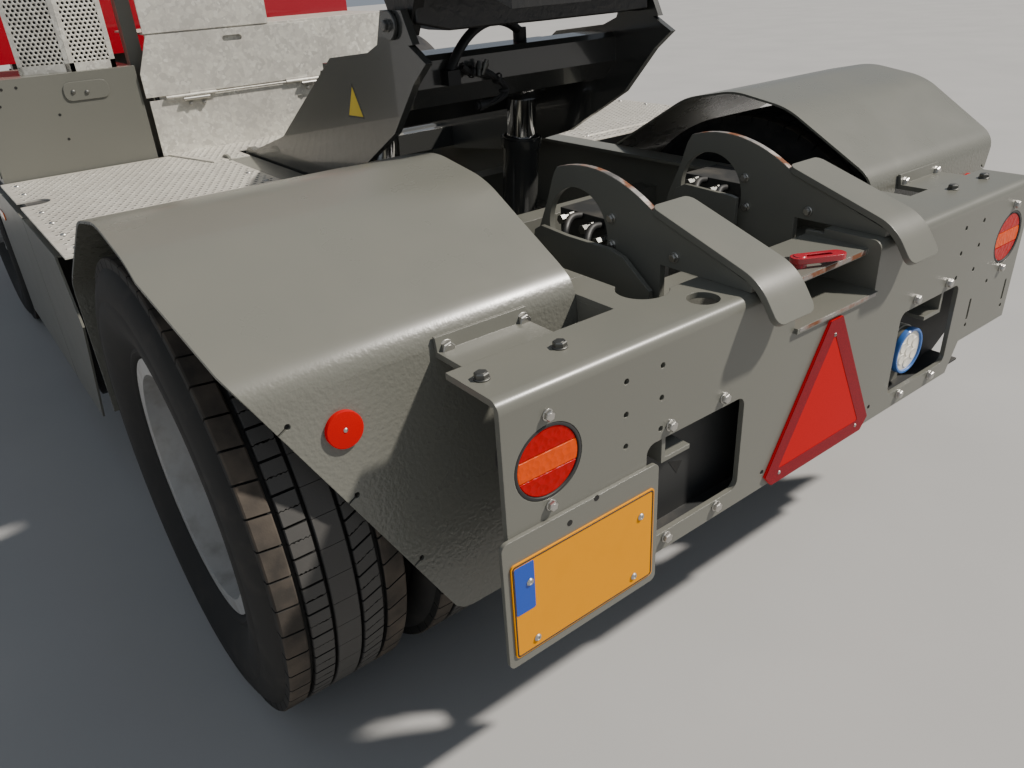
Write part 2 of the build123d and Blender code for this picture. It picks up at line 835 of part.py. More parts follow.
def tyre(axle, y_centre):
    """The plain tyre at an axle."""
    return plain_tyre.part.moved(Location((axle, y_centre, axle_z)))


rim_seat = bead_radius - running_gap
rim_edge = rim_half_width - rim_flange
rim_ring = (
    (-rim_half_width, rim_flange_radius),
    (-rim_half_width, rim_well_radius),
    (rim_half_width, rim_well_radius),
    (rim_half_width, rim_flange_radius),
    (rim_edge, rim_flange_radius),
    (rim_edge, rim_seat),
    (-rim_edge, rim_seat),
    (-rim_edge, rim_flange_radius),
)


def dished_disc(flat, foot):
    """Section of a disc whose outer face is at flat in the middle and runs out to foot in the rim."""
    return (
        (flat - disc_thickness, hub_bore_radius),
        (flat, hub_bore_radius),
        (flat, 200),
        (foot, rim_well_radius + 2),
        (foot - 22, rim_well_radius + 2),
        (flat - disc_thickness, 196),
    )


def hand_hole_bars(axle, y_low, y_high):
    """Round bars that cut the ring of hand holes through a disc."""
    with BuildPart() as piece:
        with BuildSketch(across(axle, y_low)):
            with PolarLocations(hand_hole_circle, hand_holes):
                Circle(hand_hole_radius)
        extrude(amount=y_high - y_low)
    return piece.part


twin_reach = outer_twin_y - twin_disc_y
for hand, hand_name in ((1, "left"), (-1, "right")):
    with BuildPart() as rear_tyres:
        add(tyre(rear_axle_x, hand * outer_twin_y))
        add(tyre(rear_axle_x, hand * inner_twin_y))
    rear_tyres.part.label = f"rear_tyres_{hand_name}"
    export_step(rear_tyres.part, f"parts/rear_tyres_{hand_name}.step")

    with BuildPart() as rear_rims:
        disc = dished_disc(disc_thickness - twin_reach, -50)
        add(turned(disc, rear_axle_x, hand * outer_twin_y, hand))
        add(turned(disc, rear_axle_x, hand * inner_twin_y, -hand))
        hole_y = pair(twin_disc_y - 110, twin_disc_y + 110, hand)
        add(hand_hole_bars(rear_axle_x, *hole_y), mode=Mode.SUBTRACT)
        add(turned(rim_ring, rear_axle_x, hand * outer_twin_y, hand))
        add(turned(rim_ring, rear_axle_x, hand * inner_twin_y, hand))
        tube_bore = rear_tube_radius + pin_clearance
        hub = (
            (-90, tube_bore),
            (-90, hub_bore_radius),
            (110, hub_bore_radius),
            (150, 80),
            (150, 0),
            (-55, 0),
            (-55, tube_bore),
        )
        add(turned(hub, rear_axle_x, hand * twin_disc_y, hand))
    rear_rims.part.label = f"rear_rims_{hand_name}"
    export_step(rear_rims.part, f"parts/rear_rims_{hand_name}.step")

    with BuildPart() as front_tyre:
        add(tyre(front_axle_x, hand * front_wheel_y))
    front_tyre.part.label = f"front_tyre_{hand_name}"
    export_step(front_tyre.part, f"parts/front_tyre_{hand_name}.step")

    with BuildPart() as front_rim:
        add(turned(dished_disc(90, 50), front_axle_x, hand * front_wheel_y, hand))
        hole_y = pair(front_wheel_y + 30, front_wheel_y + 110, hand)
        add(hand_hole_bars(front_axle_x, *hole_y), mode=Mode.SUBTRACT)
        add(turned(rim_ring, front_axle_x, hand * front_wheel_y, hand))
        stub_bore = stub_radius + pin_clearance
        hub = (
            (-40, stub_bore),
            (-40, hub_bore_radius),
            (150, hub_bore_radius),
            (165, 90),
            (165, 0),
            (75, 0),
            (75, stub_bore),
        )
        add(turned(hub, front_axle_x, hand * front_wheel_y, hand))
    front_rim.part.label = f"front_rim_{hand_name}"
    export_step(front_rim.part, f"parts/front_rim_{hand_name}.step")

# Boom: two side plates, a folded cross beam, the pivot shaft and the lift pins
boom_outline = (
    (boom_pivot_station + 53, -5),
    (1839, 105),
    (1383, 372),
    (1153, 394),
    (1060, 428),
    (960, 428),
    (869, 380),
    (935, 330),
    (1058, 200),
    (1330, 50),
    (1700, -60),
    (boom_pivot_station - 37, -110),
    (boom_pivot_station + 53, -80),
)
head_lug_y = cylinder_y + eye_width / 2 + lug_gap
near_lug_y = cylinder_y - eye_width / 2 - lug_gap - lug_plate
with BuildPart() as boom:
    for hand in (1, -1):
        plate_y = pair(boom_plate_inner_y, boom_plate_outer_y, hand)
        add(span(boom_outline, *plate_y))
        add(round_bar(boom_pivot_station, *plate_y, boom_pivot_height, boom_boss_radius))
        ear = (
            (fifth_pivot_station - 90, fifth_pivot_height - 42),
            (fifth_pivot_station - 50, fifth_pivot_height + 33),
            (fifth_pivot_station + 50, fifth_pivot_height + 33),
            (fifth_pivot_station + 90, fifth_pivot_height - 57),
        )
        add(span(ear, *plate_y))
        # lift cylinder lugs, one each side of the rod's eye
        lug_rear = cylinder_head_station - 61
        lug_front = cylinder_head_station + 61
        lug_top = cylinder_head_height + 105
        for lug in (near_lug_y, head_lug_y):
            lug_y = pair(lug, lug + lug_plate, hand)
            add(block(lug_rear, lug_front, *lug_y, cylinder_head_height - 30, lug_top))
        pin_y = pair(near_lug_y, boom_plate_inner_y, hand)
        add(round_bar(cylinder_head_station, *pin_y, cylinder_head_height, eye_pin_radius))
    inner_y = (-boom_plate_inner_y, boom_plate_inner_y)
    # folded cross beam and the top plate over the lugs
    fold = ((1112, 374), (1098, 360), (1096, 292), (1150, 236), (1230, 236), (1230, 374))
    add(span(fold, *inner_y))
    add(block(1210, 1480, *inner_y, lug_top, lug_top + 22))
    shaft_radius_in_bore = boom_pin_radius - pin_clearance
    add(round_bar(boom_pivot_station, -rail_outer_y, rail_outer_y, boom_pivot_height, shaft_radius_in_bore))
    # cross member ahead of the cylinders
    add(block(boom_pivot_station - 107, boom_pivot_station - 67, *inner_y, -90, -10))
    # bores for the fifth wheel's pins
    bore_y = (-boom_plate_outer_y, boom_plate_outer_y)
    add(
        round_bar(fifth_pivot_station, *bore_y, fifth_pivot_height, fifth_pin_radius + pin_clearance),
        mode=Mode.SUBTRACT,
    )
boom.part.label = "boom"
export_step(boom.part, "parts/boom.step")

# Hose that loops over the boom's cross beam, with a clip at each end
with BuildPart() as boom_hose:
    hose_start = (beam_face_x + 1078, 228, beam_top + 330)
    hose_top = (beam_face_x + 1110, 110, beam_top + 426)
    hose_end = (beam_face_x + 1176, -92, beam_top + 400)
    with BuildLine():
        hose_line = ThreePointArc(hose_start, hose_top, hose_end)
    with BuildSketch(Plane(origin=hose_line @ 0, z_dir=hose_line % 0)):
        Circle(hose_radius)
    sweep()
    add(block(1058, 1096 - running_gap, 208, 248, 296, 334))
    add(post(1176, -92, 20, 374 + running_gap, 412))
boom_hose.part.label = "boom_hose"
export_step(boom_hose.part, "parts/boom_hose.step")

# Fifth wheel: plate with a throat, rear ends bent down, side cheeks and pins
with BuildPart() as fifth_wheel:
    with BuildSketch(plan.offset(fifth_plate_height)):
        with BuildLine():
            Polyline(
                (700, 120),
                (650, 400),
                (760, 450),
                (1120, 450),
                (1290, 330),
                (1330, 120),
                (1330, -120),
                (1290, -330),
                (1120, -450),
                (760, -450),
                (650, -400),
                (700, -120),
                (900, -30),
                (900, 30),
                close=True,
            )
        make_face()
    extrude(amount=fifth_plate)
    cheek_outer = boom_plate_inner_y - 8
    cheek_low = fifth_pivot_height - 27
    for hand in (1, -1):
        # bent-down end that the trailer slides up on
        bent_end = (
            (700, fifth_plate_height),
            (700, fifth_plate_height + fifth_plate),
            (590, fifth_plate_height - 10),
            (590, fifth_plate_height - 36),
        )
        add(span(bent_end, *pair(160, 380, hand)))
        cheek = (
            (fifth_pivot_station - 30, cheek_low),
            (fifth_pivot_station - 80, fifth_plate_height + 1),
            (fifth_pivot_station + 80, fifth_plate_height + 1),
            (fifth_pivot_station + 30, cheek_low),
        )
        add(span(cheek, *pair(cheek_outer - 30, cheek_outer, hand)))
        pin_y = pair(cheek_outer - 30, boom_plate_outer_y + 4, hand)
        add(round_bar(fifth_pivot_station, *pin_y, fifth_pivot_height, fifth_pin_radius))
fifth_wheel.part.label = "fifth_wheel"
export_step(fifth_wheel.part, "parts/fifth_wheel.step")

# Lift cylinders, leaning from the foot pin to the head pin
lean = atan2(cylinder_head_station - cylinder_foot_station, cylinder_head_height - cylinder_foot_height)
pin_distance = (cylinder_head_height - cylinder_foot_height) / cos(lean)
for hand, hand_name in ((1, "left"), (-1, "right")):
    foot = Plane(
        origin=(beam_face_x + cylinder_foot_station, hand * cylinder_y, beam_top + cylinder_foot_height),
        x_dir=(0, 1, 0),
        z_dir=(sin(lean), 0, cos(lean)),
    )
    foot_eye = Plane(origin=foot.origin, x_dir=(1, 0, 0), z_dir=(0, 1, 0))
    with BuildPart() as lift_barrel:
        with BuildSketch(foot.offset(barrel_start)):
            Circle(barrel_radius)
        extrude(amount=barrel_length)
        with BuildSketch(foot.offset(barrel_start + barrel_length - collar_length)):
            Circle(collar_radius)
        extrude(amount=collar_length)
        with BuildSketch(foot.offset(barrel_start + barrel_floor)):
            Circle(rod_radius + rod_seal_gap)
        extrude(amount=barrel_length, mode=Mode.SUBTRACT)
        with BuildSketch(foot_eye.offset(-eye_width / 2)):
            Circle(eye_radius)
        extrude(amount=eye_width)
        with BuildSketch(foot):
            Rectangle(eye_width, 70)
        extrude(amount=barrel_start + 2)
        with BuildSketch(foot_eye.offset(-eye_width)):
            Circle(eye_pin_radius + pin_clearance)
        extrude(amount=2 * eye_width, mode=Mode.SUBTRACT)
    lift_barrel.part.label = f"lift_barrel_{hand_name}"
    export_step(lift_barrel.part, f"parts/lift_barrel_{hand_name}.step")

    # the rod's eye is wider than its pin, so that it may drift as the boom turns
    head_eye = Plane(origin=foot.offset(pin_distance).origin, x_dir=(1, 0, 0), z_dir=(0, 1, 0))
    with BuildPart() as lift_rod:
        with BuildSketch(foot.offset(pin_distance - rod_length)):
            Circle(rod_radius)
        extrude(amount=rod_length - rod_neck)
        with BuildSketch(foot.offset(pin_distance - rod_neck)):
            Rectangle(eye_width, 80)
        extrude(amount=rod_neck)
        with BuildSketch(head_eye.offset(-eye_width / 2)):
            Circle(eye_radius)
        extrude(amount=eye_width)
        with BuildSketch(head_eye.offset(-eye_width)):
            Circle(eye_pin_radius + eye_drift)
        extrude(amount=2 * eye_width, mode=Mode.SUBTRACT)
    lift_rod.part.label = f"lift_rod_{hand_name}"
    export_step(lift_rod.part, f"parts/lift_rod_{hand_name}.step")

# Cross tube on the frame that carries the cylinders' feet
with BuildPart() as cylinder_feet:
    tube_rear = cylinder_foot_station + 81
    tube_front = tube_rear + 80
    tube_top = cylinder_foot_height - 40
    for hand in (1, -1):
        for near in (near_lug_y, head_lug_y):
            lug_shape = (
                (cylinder_foot_station - 79, tube_top - 40),
                (cylinder_foot_station - 79, cylinder_foot_height + 6),
                (cylinder_foot_station - 49, cylinder_foot_height + 36),
                (tube_rear, cylinder_foot_height + 36),
                (tube_rear, tube_top - 40),
            )
            add(span(lug_shape, *pair(near, near + lug_plate, hand)))
        pin_y = pair(near_lug_y - 1, head_lug_y + lug_plate + 1, hand)
        add(round_bar(cylinder_foot_station, *pin_y, cylinder_foot_height, eye_pin_radius))
        add(block(tube_rear, tube_front, *pair(rail_outer_y - 30, rail_outer_y, hand), tube_top, -rail_height))
    add(block(tube_rear, tube_front, -rail_outer_y, rail_outer_y, tube_top - 70, tube_top))
cylinder_feet.part.label = "cylinder_feet"
export_step(cylinder_feet.part, "parts/cylinder_feet.step")

hinge_heights = (cab_floor_height + 255, cab_floor_height + 1255)
window_top_height = cab_roof_height - 140
door_low = cab_floor_height + door_sill
door_high = cab_roof_height - door_top_gap
pillar_station = cab_front_station - 260
right_window_station = cab_rear_station + 140
quarter_station = door_front_station + 100
screen_y = (cab_right_y + window_frame, cab_left_y - window_frame)
left_wall_y = (cab_left_y - cab_wall - 1, cab_left_y + 1)
hinge_y = cab_left_y + hinge_reach


def cab_side(grow):
    """Side outline of the cab, in by grow on every side, as stations and heights."""
    return (
        (cab_rear_station + grow, cab_floor_height + grow),
        (cab_rear_station + grow, cab_roof_height - grow),
        (cab_front_station - windscreen_lean - grow, cab_roof_height - grow),
        (cab_front_station - grow - windscreen_lean * grow / cab_height, cab_floor_height + grow),
    )


def screen_station(height):
    """Station of the leaning front wall's outside at a height."""
    return cab_front_station - windscreen_lean * (height - cab_floor_height) / cab_height


# Cab body: walls and floor, open under the roof, with its windows and door opening cut
with BuildPart() as cab_body:
    add(span(cab_side(0), cab_right_y, cab_left_y))
    add(span(cab_side(cab_wall), cab_right_y + cab_wall, cab_left_y - cab_wall), mode=Mode.SUBTRACT)
    # roof opening
    add(
        block(
            cab_rear_station + cab_wall,
            cab_front_station - windscreen_lean - cab_wall,
            cab_right_y + cab_wall,
            cab_left_y - cab_wall,
            cab_roof_height - cab_wall - 1,
            cab_roof_height + 1,
        ),
        mode=Mode.SUBTRACT,
    )
    # windscreen, rear, right and left quarter windows, then the door opening
    right_wall_y = (cab_right_y - 1, cab_right_y + cab_wall + 1)
    for rear, front, wall_y, low, high in (
        (cab_front_station - 320, cab_front_station + 80, screen_y, windscreen_sill, window_top_height),
        (cab_rear_station - 20, cab_rear_station + 80, screen_y, window_sill, window_top_height),
        (right_window_station, pillar_station, right_wall_y, window_sill, window_top_height),
        (quarter_station, pillar_station, left_wall_y, quarter_sill, window_top_height),
        (door_rear_station, door_front_station, left_wall_y, door_low, door_high),
    ):
        add(block(rear, front, *wall_y, low, high), mode=Mode.SUBTRACT)
    # tilt lugs under the floor
    for hand in (1, -1):
        lug_y = pair(tilt_lug_y, tilt_lug_y + tilt_lug, hand)
        lug_shape = (
            (tilt_pivot_station - 60, cab_floor_height),
            (tilt_pivot_station - tilt_boss_radius, tilt_pivot_height),
            (tilt_pivot_station + tilt_boss_radius, tilt_pivot_height),
            (tilt_pivot_station + tilt_pivot_setback - 1, cab_floor_height),
        )
        add(span(lug_shape, *lug_y))
        add(round_bar(tilt_pivot_station, *lug_y, tilt_pivot_height, tilt_boss_radius))
        add(
            round_bar(tilt_pivot_station, *lug_y, tilt_pivot_height, tilt_pin_radius + pin_clearance),
            mode=Mode.SUBTRACT,
        )
    # fixed halves of the door hinges, with their pins
    for height in hinge_heights:
        leaf_top = height + hinge_leaf
        add(block(door_front_station, door_front_station + 60, cab_left_y, cab_left_y + 6, height, leaf_top))
        add(post(hinge_station, hinge_y, hinge_radius, height, leaf_top))
        add(post(hinge_station, hinge_y, hinge_pin_radius, leaf_top, leaf_top + hinge_leaf + 1))
cab_body.part.label = "cab_body"
export_step(cab_body.part, "parts/cab_body.step")

with BuildPart() as cab_roof:
    roof_top = cab_roof_height + roof_height
    roof_front = cab_front_station - windscreen_lean
    add(block(cab_rear_station, roof_front, cab_right_y, cab_left_y, cab_roof_height, roof_top))
    fillet(edges().group_by(Axis.Z)[-1], 40)
cab_roof.part.label = "cab_roof"
export_step(cab_roof.part, "parts/cab_roof.step")

pane_rear = door_rear_station + door_frame
pane_front = door_front_station - door_frame
pane_low = quarter_sill + 50
pane_high = door_high - door_frame
with BuildPart() as cab_door:
    add(
        block(
            door_rear_station + door_gap,
            door_front_station - door_gap,
            cab_left_y - cab_wall,
            cab_left_y,
            door_low + door_gap,
            door_high - door_gap,
        )
    )
    add(block(pane_rear, pane_front, *left_wall_y, pane_low, pane_high), mode=Mode.SUBTRACT)
    # moving halves of the hinges
    leaf_front = door_front_station - door_gap
    for height in hinge_heights:
        low = height + hinge_leaf + running_gap
        add(block(leaf_front - 60, leaf_front, cab_left_y, cab_left_y + 6, low, low + hinge_leaf))
        add(post(hinge_station, hinge_y, hinge_radius, low, low + hinge_leaf))
        bore = hinge_pin_radius + pin_clearance
        add(post(hinge_station, hinge_y, bore, low, low + hinge_leaf + 5), mode=Mode.SUBTRACT)
    # handle
    grip_rear = door_rear_station + 50
    add(block(grip_rear, grip_rear + 130, cab_left_y, cab_left_y + 30, 600, 630))
    add(block(grip_rear + 20, grip_rear + 110, cab_left_y, cab_left_y + 18, 599, 631), mode=Mode.SUBTRACT)
cab_door.part.label = "cab_door"
export_step(cab_door.part, "parts/cab_door.step")

pane_middle = cab_wall / 2
half_glass = glass_thickness / 2
left_pane_y = (cab_left_y - pane_middle - half_glass, cab_left_y - pane_middle + half_glass)
with BuildPart() as door_glass:
    add(
        block(
            pane_rear + pane_gap,
            pane_front - pane_gap,
            *left_pane_y,
            pane_low + pane_gap,
            pane_high - pane_gap,
        )
    )
door_glass.part.label = "door_glass"
export_step(door_glass.part, "parts/door_glass.step")

with BuildPart() as cab_glass:
    # windscreen, lying in the leaning wall
    low = windscreen_sill + pane_gap
    high = window_top_height - pane_gap
    across_y = (screen_y[0] + pane_gap, screen_y[1] - pane_gap)
    rear_face = pane_middle + half_glass
    front_face = pane_middle - half_glass
    pane = (
        (screen_station(low) - rear_face, low),
        (screen_station(low) - front_face, low),
        (screen_station(high) - front_face, high),
        (screen_station(high) - rear_face, high),
    )
    add(span(pane, *across_y))
    # rear, right and left quarter panes
    sill = window_sill + pane_gap
    right_pane_y = (cab_right_y + front_face, cab_right_y + rear_face)
    pillar = pillar_station - pane_gap
    add(block(cab_rear_station + front_face, cab_rear_station + rear_face, *across_y, sill, high))
    add(block(right_window_station + pane_gap, pillar, *right_pane_y, sill, high))
    add(block(quarter_station + pane_gap, pillar, *left_pane_y, quarter_sill + pane_gap, high))
cab_glass.part.label = "cab_glass"
export_step(cab_glass.part, "parts/cab_glass.step")

# Seat and controls
cab_floor_top = cab_floor_height + cab_wall
with BuildPart() as driver_seat:
    seat_station = cab_rear_station + 400
    seat_height = cab_floor_top + 215
    cushion = (
        (seat_station + 90, seat_height),
        (seat_station + 600, seat_height),
        (seat_station + 600, seat_height + 105),
        (seat_station + 90, seat_height + 120),
    )
    add(span(cushion, 100, 600, 20))
    backrest = (
        (seat_station, seat_height + 60),
        (seat_station + 120, seat_height + 60),
        (seat_station + 70, seat_height + 745),
        (seat_station - 30, seat_height + 745),
    )
    add(span(backrest, 120, 580, 20))
    add(block(seat_station + 200, seat_station + 480, 220, 480, cab_floor_top, seat_height))
driver_seat.part.label = "driver_seat"
export_step(driver_seat.part, "parts/driver_seat.step")

with BuildPart() as cab_controls:
    dash_front = cab_front_station - 120
    console = (
        (dash_front - 340, cab_floor_top),
        (dash_front, cab_floor_top),
        (dash_front, 940),
        (dash_front - 230, 940),
        (dash_front - 340, 860),
    )
    add(span(console, 60, 640))
    steering_wheel = Plane(
        origin=(beam_face_x + dash_front - 400, 350, beam_top + 1050),
        x_dir=(0, 1, 0),
        z_dir=(-0.5, 0, 0.866),
    )
    with BuildSketch(steering_wheel):
        Circle(220)
        Circle(195, mode=Mode.SUBTRACT)
        Rectangle(400, 26)
    extrude(amount=24)
    with BuildSketch(steering_wheel.offset(-200)):
        Circle(28)
    extrude(amount=210)
cab_controls.part.label = "cab_controls"
export_step(cab_controls.part, "parts/cab_controls.step")

# Mirrors and beacon
with BuildPart() as mirrors:
    arm_station = cab_front_station - 240
    # hand, wall that the arm is on, and inner edge of the mirror
    for hand, wall_y, mirror_y in ((1, cab_left_y, 1190), (-1, cab_right_y, 1130)):
        arm_y = tuple(sorted((wall_y, hand * 1240)))
        add(block(arm_station, arm_station + 20, *arm_y, 1390, 1410))
        add(block(arm_station - 20, arm_station + 20, *pair(mirror_y, 1350, hand), 1070, 1450))
mirrors.part.label = "mirrors"
export_step(mirrors.part, "parts/mirrors.step")

with BuildPart() as beacon:
    add(post(cab_rear_station + 380, 315, 75, roof_top, roof_top + 150))
    chamfer(edges().group_by(Axis.Z)[-1], 24)
beacon.part.label = "beacon"
export_step(beacon.part, "parts/beacon.step")

# Cab supports: front tilt brackets, rear portal and the post behind the cab
with BuildPart() as cab_supports:
    portal = (cab_rear_station + 50, cab_rear_station + 110)
    portal_top = cab_floor_height - running_gap
    for hand in (1, -1):
        pivot_shape = (
            (tilt_pivot_station - 85, 0),
            (tilt_pivot_station - tilt_boss_radius + 2, tilt_pivot_height),
            (tilt_pivot_station + tilt_boss_radius - 2, tilt_pivot_height),
            (tilt_pivot_station + 50, 0),
        )
        ear_y = pair(tilt_lug_y - running_gap - 20, tilt_lug_y - running_gap, hand)
        add(span(pivot_shape, *ear_y))
        add(round_bar(tilt_pivot_station, *ear_y, tilt_pivot_height, tilt_boss_radius))
        pin_y = pair(tilt_lug_y - 20, tilt_lug_y + tilt_lug + 1, hand)
        add(round_bar(tilt_pivot_station, *pin_y, tilt_pivot_height, tilt_pin_radius))
        add(block(*portal, *pair(rail_outer_y - 40, rail_outer_y, hand), 0, portal_top))
    add(block(*portal, -rail_outer_y, 1000, portal_top - 64, portal_top))
    post_station = deck_front_station + 60
    add(block(post_station, post_station + 50, 650, cabinet_inner_y - running_gap, -deck_sheet, 1440))
cab_supports.part.label = "cab_supports"
export_step(cab_supports.part, "parts/cab_supports.step")

# Steps up to the door, with treads folded up at their outer edge
with BuildPart() as cab_steps:
    step_rear = cab_rear_station - 220
    step_front = step_rear + 240
    for low in (step_inner_y, step_outer_y - 8):
        add(block(step_rear, step_front, low, low + 8, -530, 270))
    for height in (-510, step_pitch - 510, 2 * step_pitch - 510):
        add(block(step_rear, step_front, step_inner_y, step_outer_y, height, height + 10))
        add(block(step_rear, step_front, step_outer_y - 18, step_outer_y, height, height + 34))
    add(block(step_rear, step_rear + 40, rail_outer_y, step_inner_y, -210, -110))
cab_steps.part.label = "cab_steps"
export_step(cab_steps.part, "parts/cab_steps.step")

# Front fenders: a round sheet over each tyre, on a bracket from the rail
fender_radius = tyre_radius + 125
fender_sheet = 8
with BuildPart() as front_fenders:
    for hand in (1, -1):
        outer_edge = 1235 if hand > 0 else -930
        with BuildSketch(across(front_axle_x, outer_edge - 305)):
            Circle(fender_radius + fender_sheet)
            Circle(fender_radius, mode=Mode.SUBTRACT)
            with Locations((0, 400)):
                Rectangle(3 * fender_radius, 900, mode=Mode.SUBTRACT)
        extrude(amount=305)
        bracket = (front_axle_station - 20, front_axle_station + 20)
        fender_top = axle_height + fender_radius
        add(block(*bracket, *pair(rail_outer_y, 940, hand), fender_top, fender_top + 30))
        add(block(*bracket, *pair(rail_outer_y, rail_outer_y + 30, hand), -110, fender_top + 30))
front_fenders.part.label = "front_fenders"
export_step(front_fenders.part, "parts/front_fenders.step")

# Front bumper and headlamps
bumper_low = -490
bumper_high = -130
lamp_pocket = back.offset(bumper_front_station - 60)
with BuildPart() as front_bumper:
    with BuildSketch(plan.offset(bumper_low)):
        with BuildLine():
            Polyline(
                (bumper_rear_station, -1220),
                (bumper_front_station - 90, -1220),
                (bumper_front_station, -900),
                (bumper_front_station, 900),
                (bumper_front_station - 90, 1220),
                (bumper_rear_station, 1220),
                close=True,
            )
        make_face()
    extrude(amount=bumper_high - bumper_low)
    with BuildSketch(lamp_pocket):
        with Locations((760, -270), (-760, -270)):
            RectangleRounded(200, 140, 30)
    extrude(amount=60, mode=Mode.SUBTRACT)
    for hand in (1, -1):
        bracket_y = pair(rail_inner_y, rail_outer_y, hand)
        add(block(rail_front_station, bumper_rear_station, *bracket_y, -rail_height, bumper_high))
front_bumper.part.label = "front_bumper"
export_step(front_bumper.part, "parts/front_bumper.step")

with BuildPart() as headlamps:
    with BuildSketch(lamp_pocket):
        with Locations((760, -270), (-760, -270)):
            RectangleRounded(200, 140, 30)
    extrude(amount=60)
headlamps.part.label = "headlamps"
export_step(headlamps.part, "parts/headlamps.step")
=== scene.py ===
"""Looks of the terminal tractor: its materials, tyre treads, bolts, lamps, plates, perforated sheets,
seat and small fittings, each placed by the CAD frame. Blender units are metres; sizes here are millimetres
unless a name says otherwise."""

import json
from math import asin, cos, pi, radians, sin, sqrt

import bmesh
import bpy
from mathutils import Matrix, Vector

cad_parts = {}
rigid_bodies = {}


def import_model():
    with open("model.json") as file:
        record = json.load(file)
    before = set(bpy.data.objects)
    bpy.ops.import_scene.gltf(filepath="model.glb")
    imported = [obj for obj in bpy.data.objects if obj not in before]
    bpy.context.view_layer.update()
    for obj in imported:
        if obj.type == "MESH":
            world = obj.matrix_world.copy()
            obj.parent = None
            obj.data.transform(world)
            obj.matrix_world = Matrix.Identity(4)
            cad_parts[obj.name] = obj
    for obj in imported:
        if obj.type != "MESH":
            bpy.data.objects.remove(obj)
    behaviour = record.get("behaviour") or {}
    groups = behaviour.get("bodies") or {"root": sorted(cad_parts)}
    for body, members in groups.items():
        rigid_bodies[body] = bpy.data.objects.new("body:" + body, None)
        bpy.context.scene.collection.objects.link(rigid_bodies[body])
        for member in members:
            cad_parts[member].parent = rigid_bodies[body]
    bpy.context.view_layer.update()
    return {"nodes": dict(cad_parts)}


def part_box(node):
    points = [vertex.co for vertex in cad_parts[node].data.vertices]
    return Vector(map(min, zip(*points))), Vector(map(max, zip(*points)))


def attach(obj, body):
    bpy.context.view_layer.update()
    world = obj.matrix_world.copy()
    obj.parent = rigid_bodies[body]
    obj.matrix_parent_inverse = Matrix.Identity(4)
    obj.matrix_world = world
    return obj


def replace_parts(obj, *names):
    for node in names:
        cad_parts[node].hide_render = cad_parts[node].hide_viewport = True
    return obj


for leftover in list(bpy.data.objects):
    bpy.data.objects.remove(leftover)

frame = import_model()

mm = 0.001
to_rear = Vector((-1, 0, 0))
to_front = Vector((1, 0, 0))
to_left = Vector((0, 1, 0))
to_right = Vector((0, -1, 0))
upward = Vector((0, 0, 1))
hands = (("left", 1), ("right", -1))

# The frame's own datum: stations run forward from the beam's rear face, heights are over the beam's top
face_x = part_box("plate_bracket")[1].x
beam_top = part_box("rear_beam")[1].z


def place(station, y, height):
    """A point by its station, its y and its height."""
    return Vector((face_x + station * mm, y * mm, beam_top + height * mm))


def extent(node):
    """A node's stations, y values and heights, each as (low, high)."""
    low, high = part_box(node)
    return (
        ((low.x - face_x) / mm, (high.x - face_x) / mm),
        (low.y / mm, high.y / mm),
        ((low.z - beam_top) / mm, (high.z - beam_top) / mm),
    )


# Shapes, each added to a bmesh


def skin(mesh, rings, closed=False):
    """Join each ring of vertices to the next with faces, and a closed one's last ring to its first."""
    for ring, following in zip(rings, rings[1:] + rings[:1] if closed else rings[1:]):
        for k in range(len(ring)):
            corners = list(dict.fromkeys((ring[k - 1], ring[k], following[k], following[k - 1])))
            if len(corners) > 2:
                mesh.faces.new(corners)
    if not closed:
        for ring in (rings[0], rings[-1]):
            if len(set(ring)) > 2:
                mesh.faces.new(ring)


def prism(mesh, outline, depth):
    """Extrude a closed flat outline of points by a vector, closed at both ends."""
    skin(mesh, [[mesh.verts.new(point + way) for point in outline] for way in (depth * 0, depth)])


def band(mesh, outer, inner, depth):
    """Extrude the strip between two closed outlines of as many points by a vector."""
    loops = [outer, inner, [point + depth for point in inner], [point + depth for point in outer]]
    skin(mesh, [[mesh.verts.new(point) for point in loop] for loop in loops], closed=True)


def cuboid(mesh, stations, y_range, heights):
    """A box between two stations, two y values and two heights."""
    corners = ((0, 0), (1, 0), (1, 1), (0, 1))
    outline = [place(stations[a], y_range[b], heights[0]) for a, b in corners]
    prism(mesh, outline, upward * (heights[1] - heights[0]) * mm)


def circle(mesh, middle, first, second, radius, sides, turn=0.0):
    """Vertices of a circle that is spanned by two directions."""
    angles = [turn + 2 * pi * k / sides for k in range(sides)]
    return [mesh.verts.new(middle + (first * cos(a) + second * sin(a)) * radius * mm) for a in angles]


def turned(mesh, centre, axis, profile, sides=24, hollow=False):
    """Revolve (distance along the axis, radius) pairs; a hollow one joins its last ring to its first."""
    axis = Vector(axis).normalized()
    first = axis.orthogonal().normalized()
    second = axis.cross(first)
    rings = []
    for along, radius in profile:
        middle = centre + axis * along * mm
        if radius:
            rings.append(circle(mesh, middle, first, second, radius, sides))
        else:
            rings.append([mesh.verts.new(middle)] * sides)
    skin(mesh, rings, hollow)


def hoop(mesh, centre, axis, span, outer, inner, sides):
    """A flat ring between two distances along its axis."""
    low, high = span
    turned(mesh, centre, axis, ((low, outer), (high, outer), (high, inner), (low, inner)), sides, hollow=True)


def disc(mesh, centre, axis, radius, thickness, sides):
    turned(mesh, centre, axis, ((0, radius), (thickness, radius)), sides)


def tube(mesh, path, radius, sides=12):
    """A round bar or cable along a path of points."""
    rings = []
    first = None
    for k, point in enumerate(path):
        tangent = (path[min(k + 1, len(path) - 1)] - path[max(k - 1, 0)]).normalized()
        first = tangent.orthogonal() if first is None else first - tangent * first.dot(tangent)
        first.normalize()
        rings.append(circle(mesh, point, first, tangent.cross(first), radius, sides))
    skin(mesh, rings)


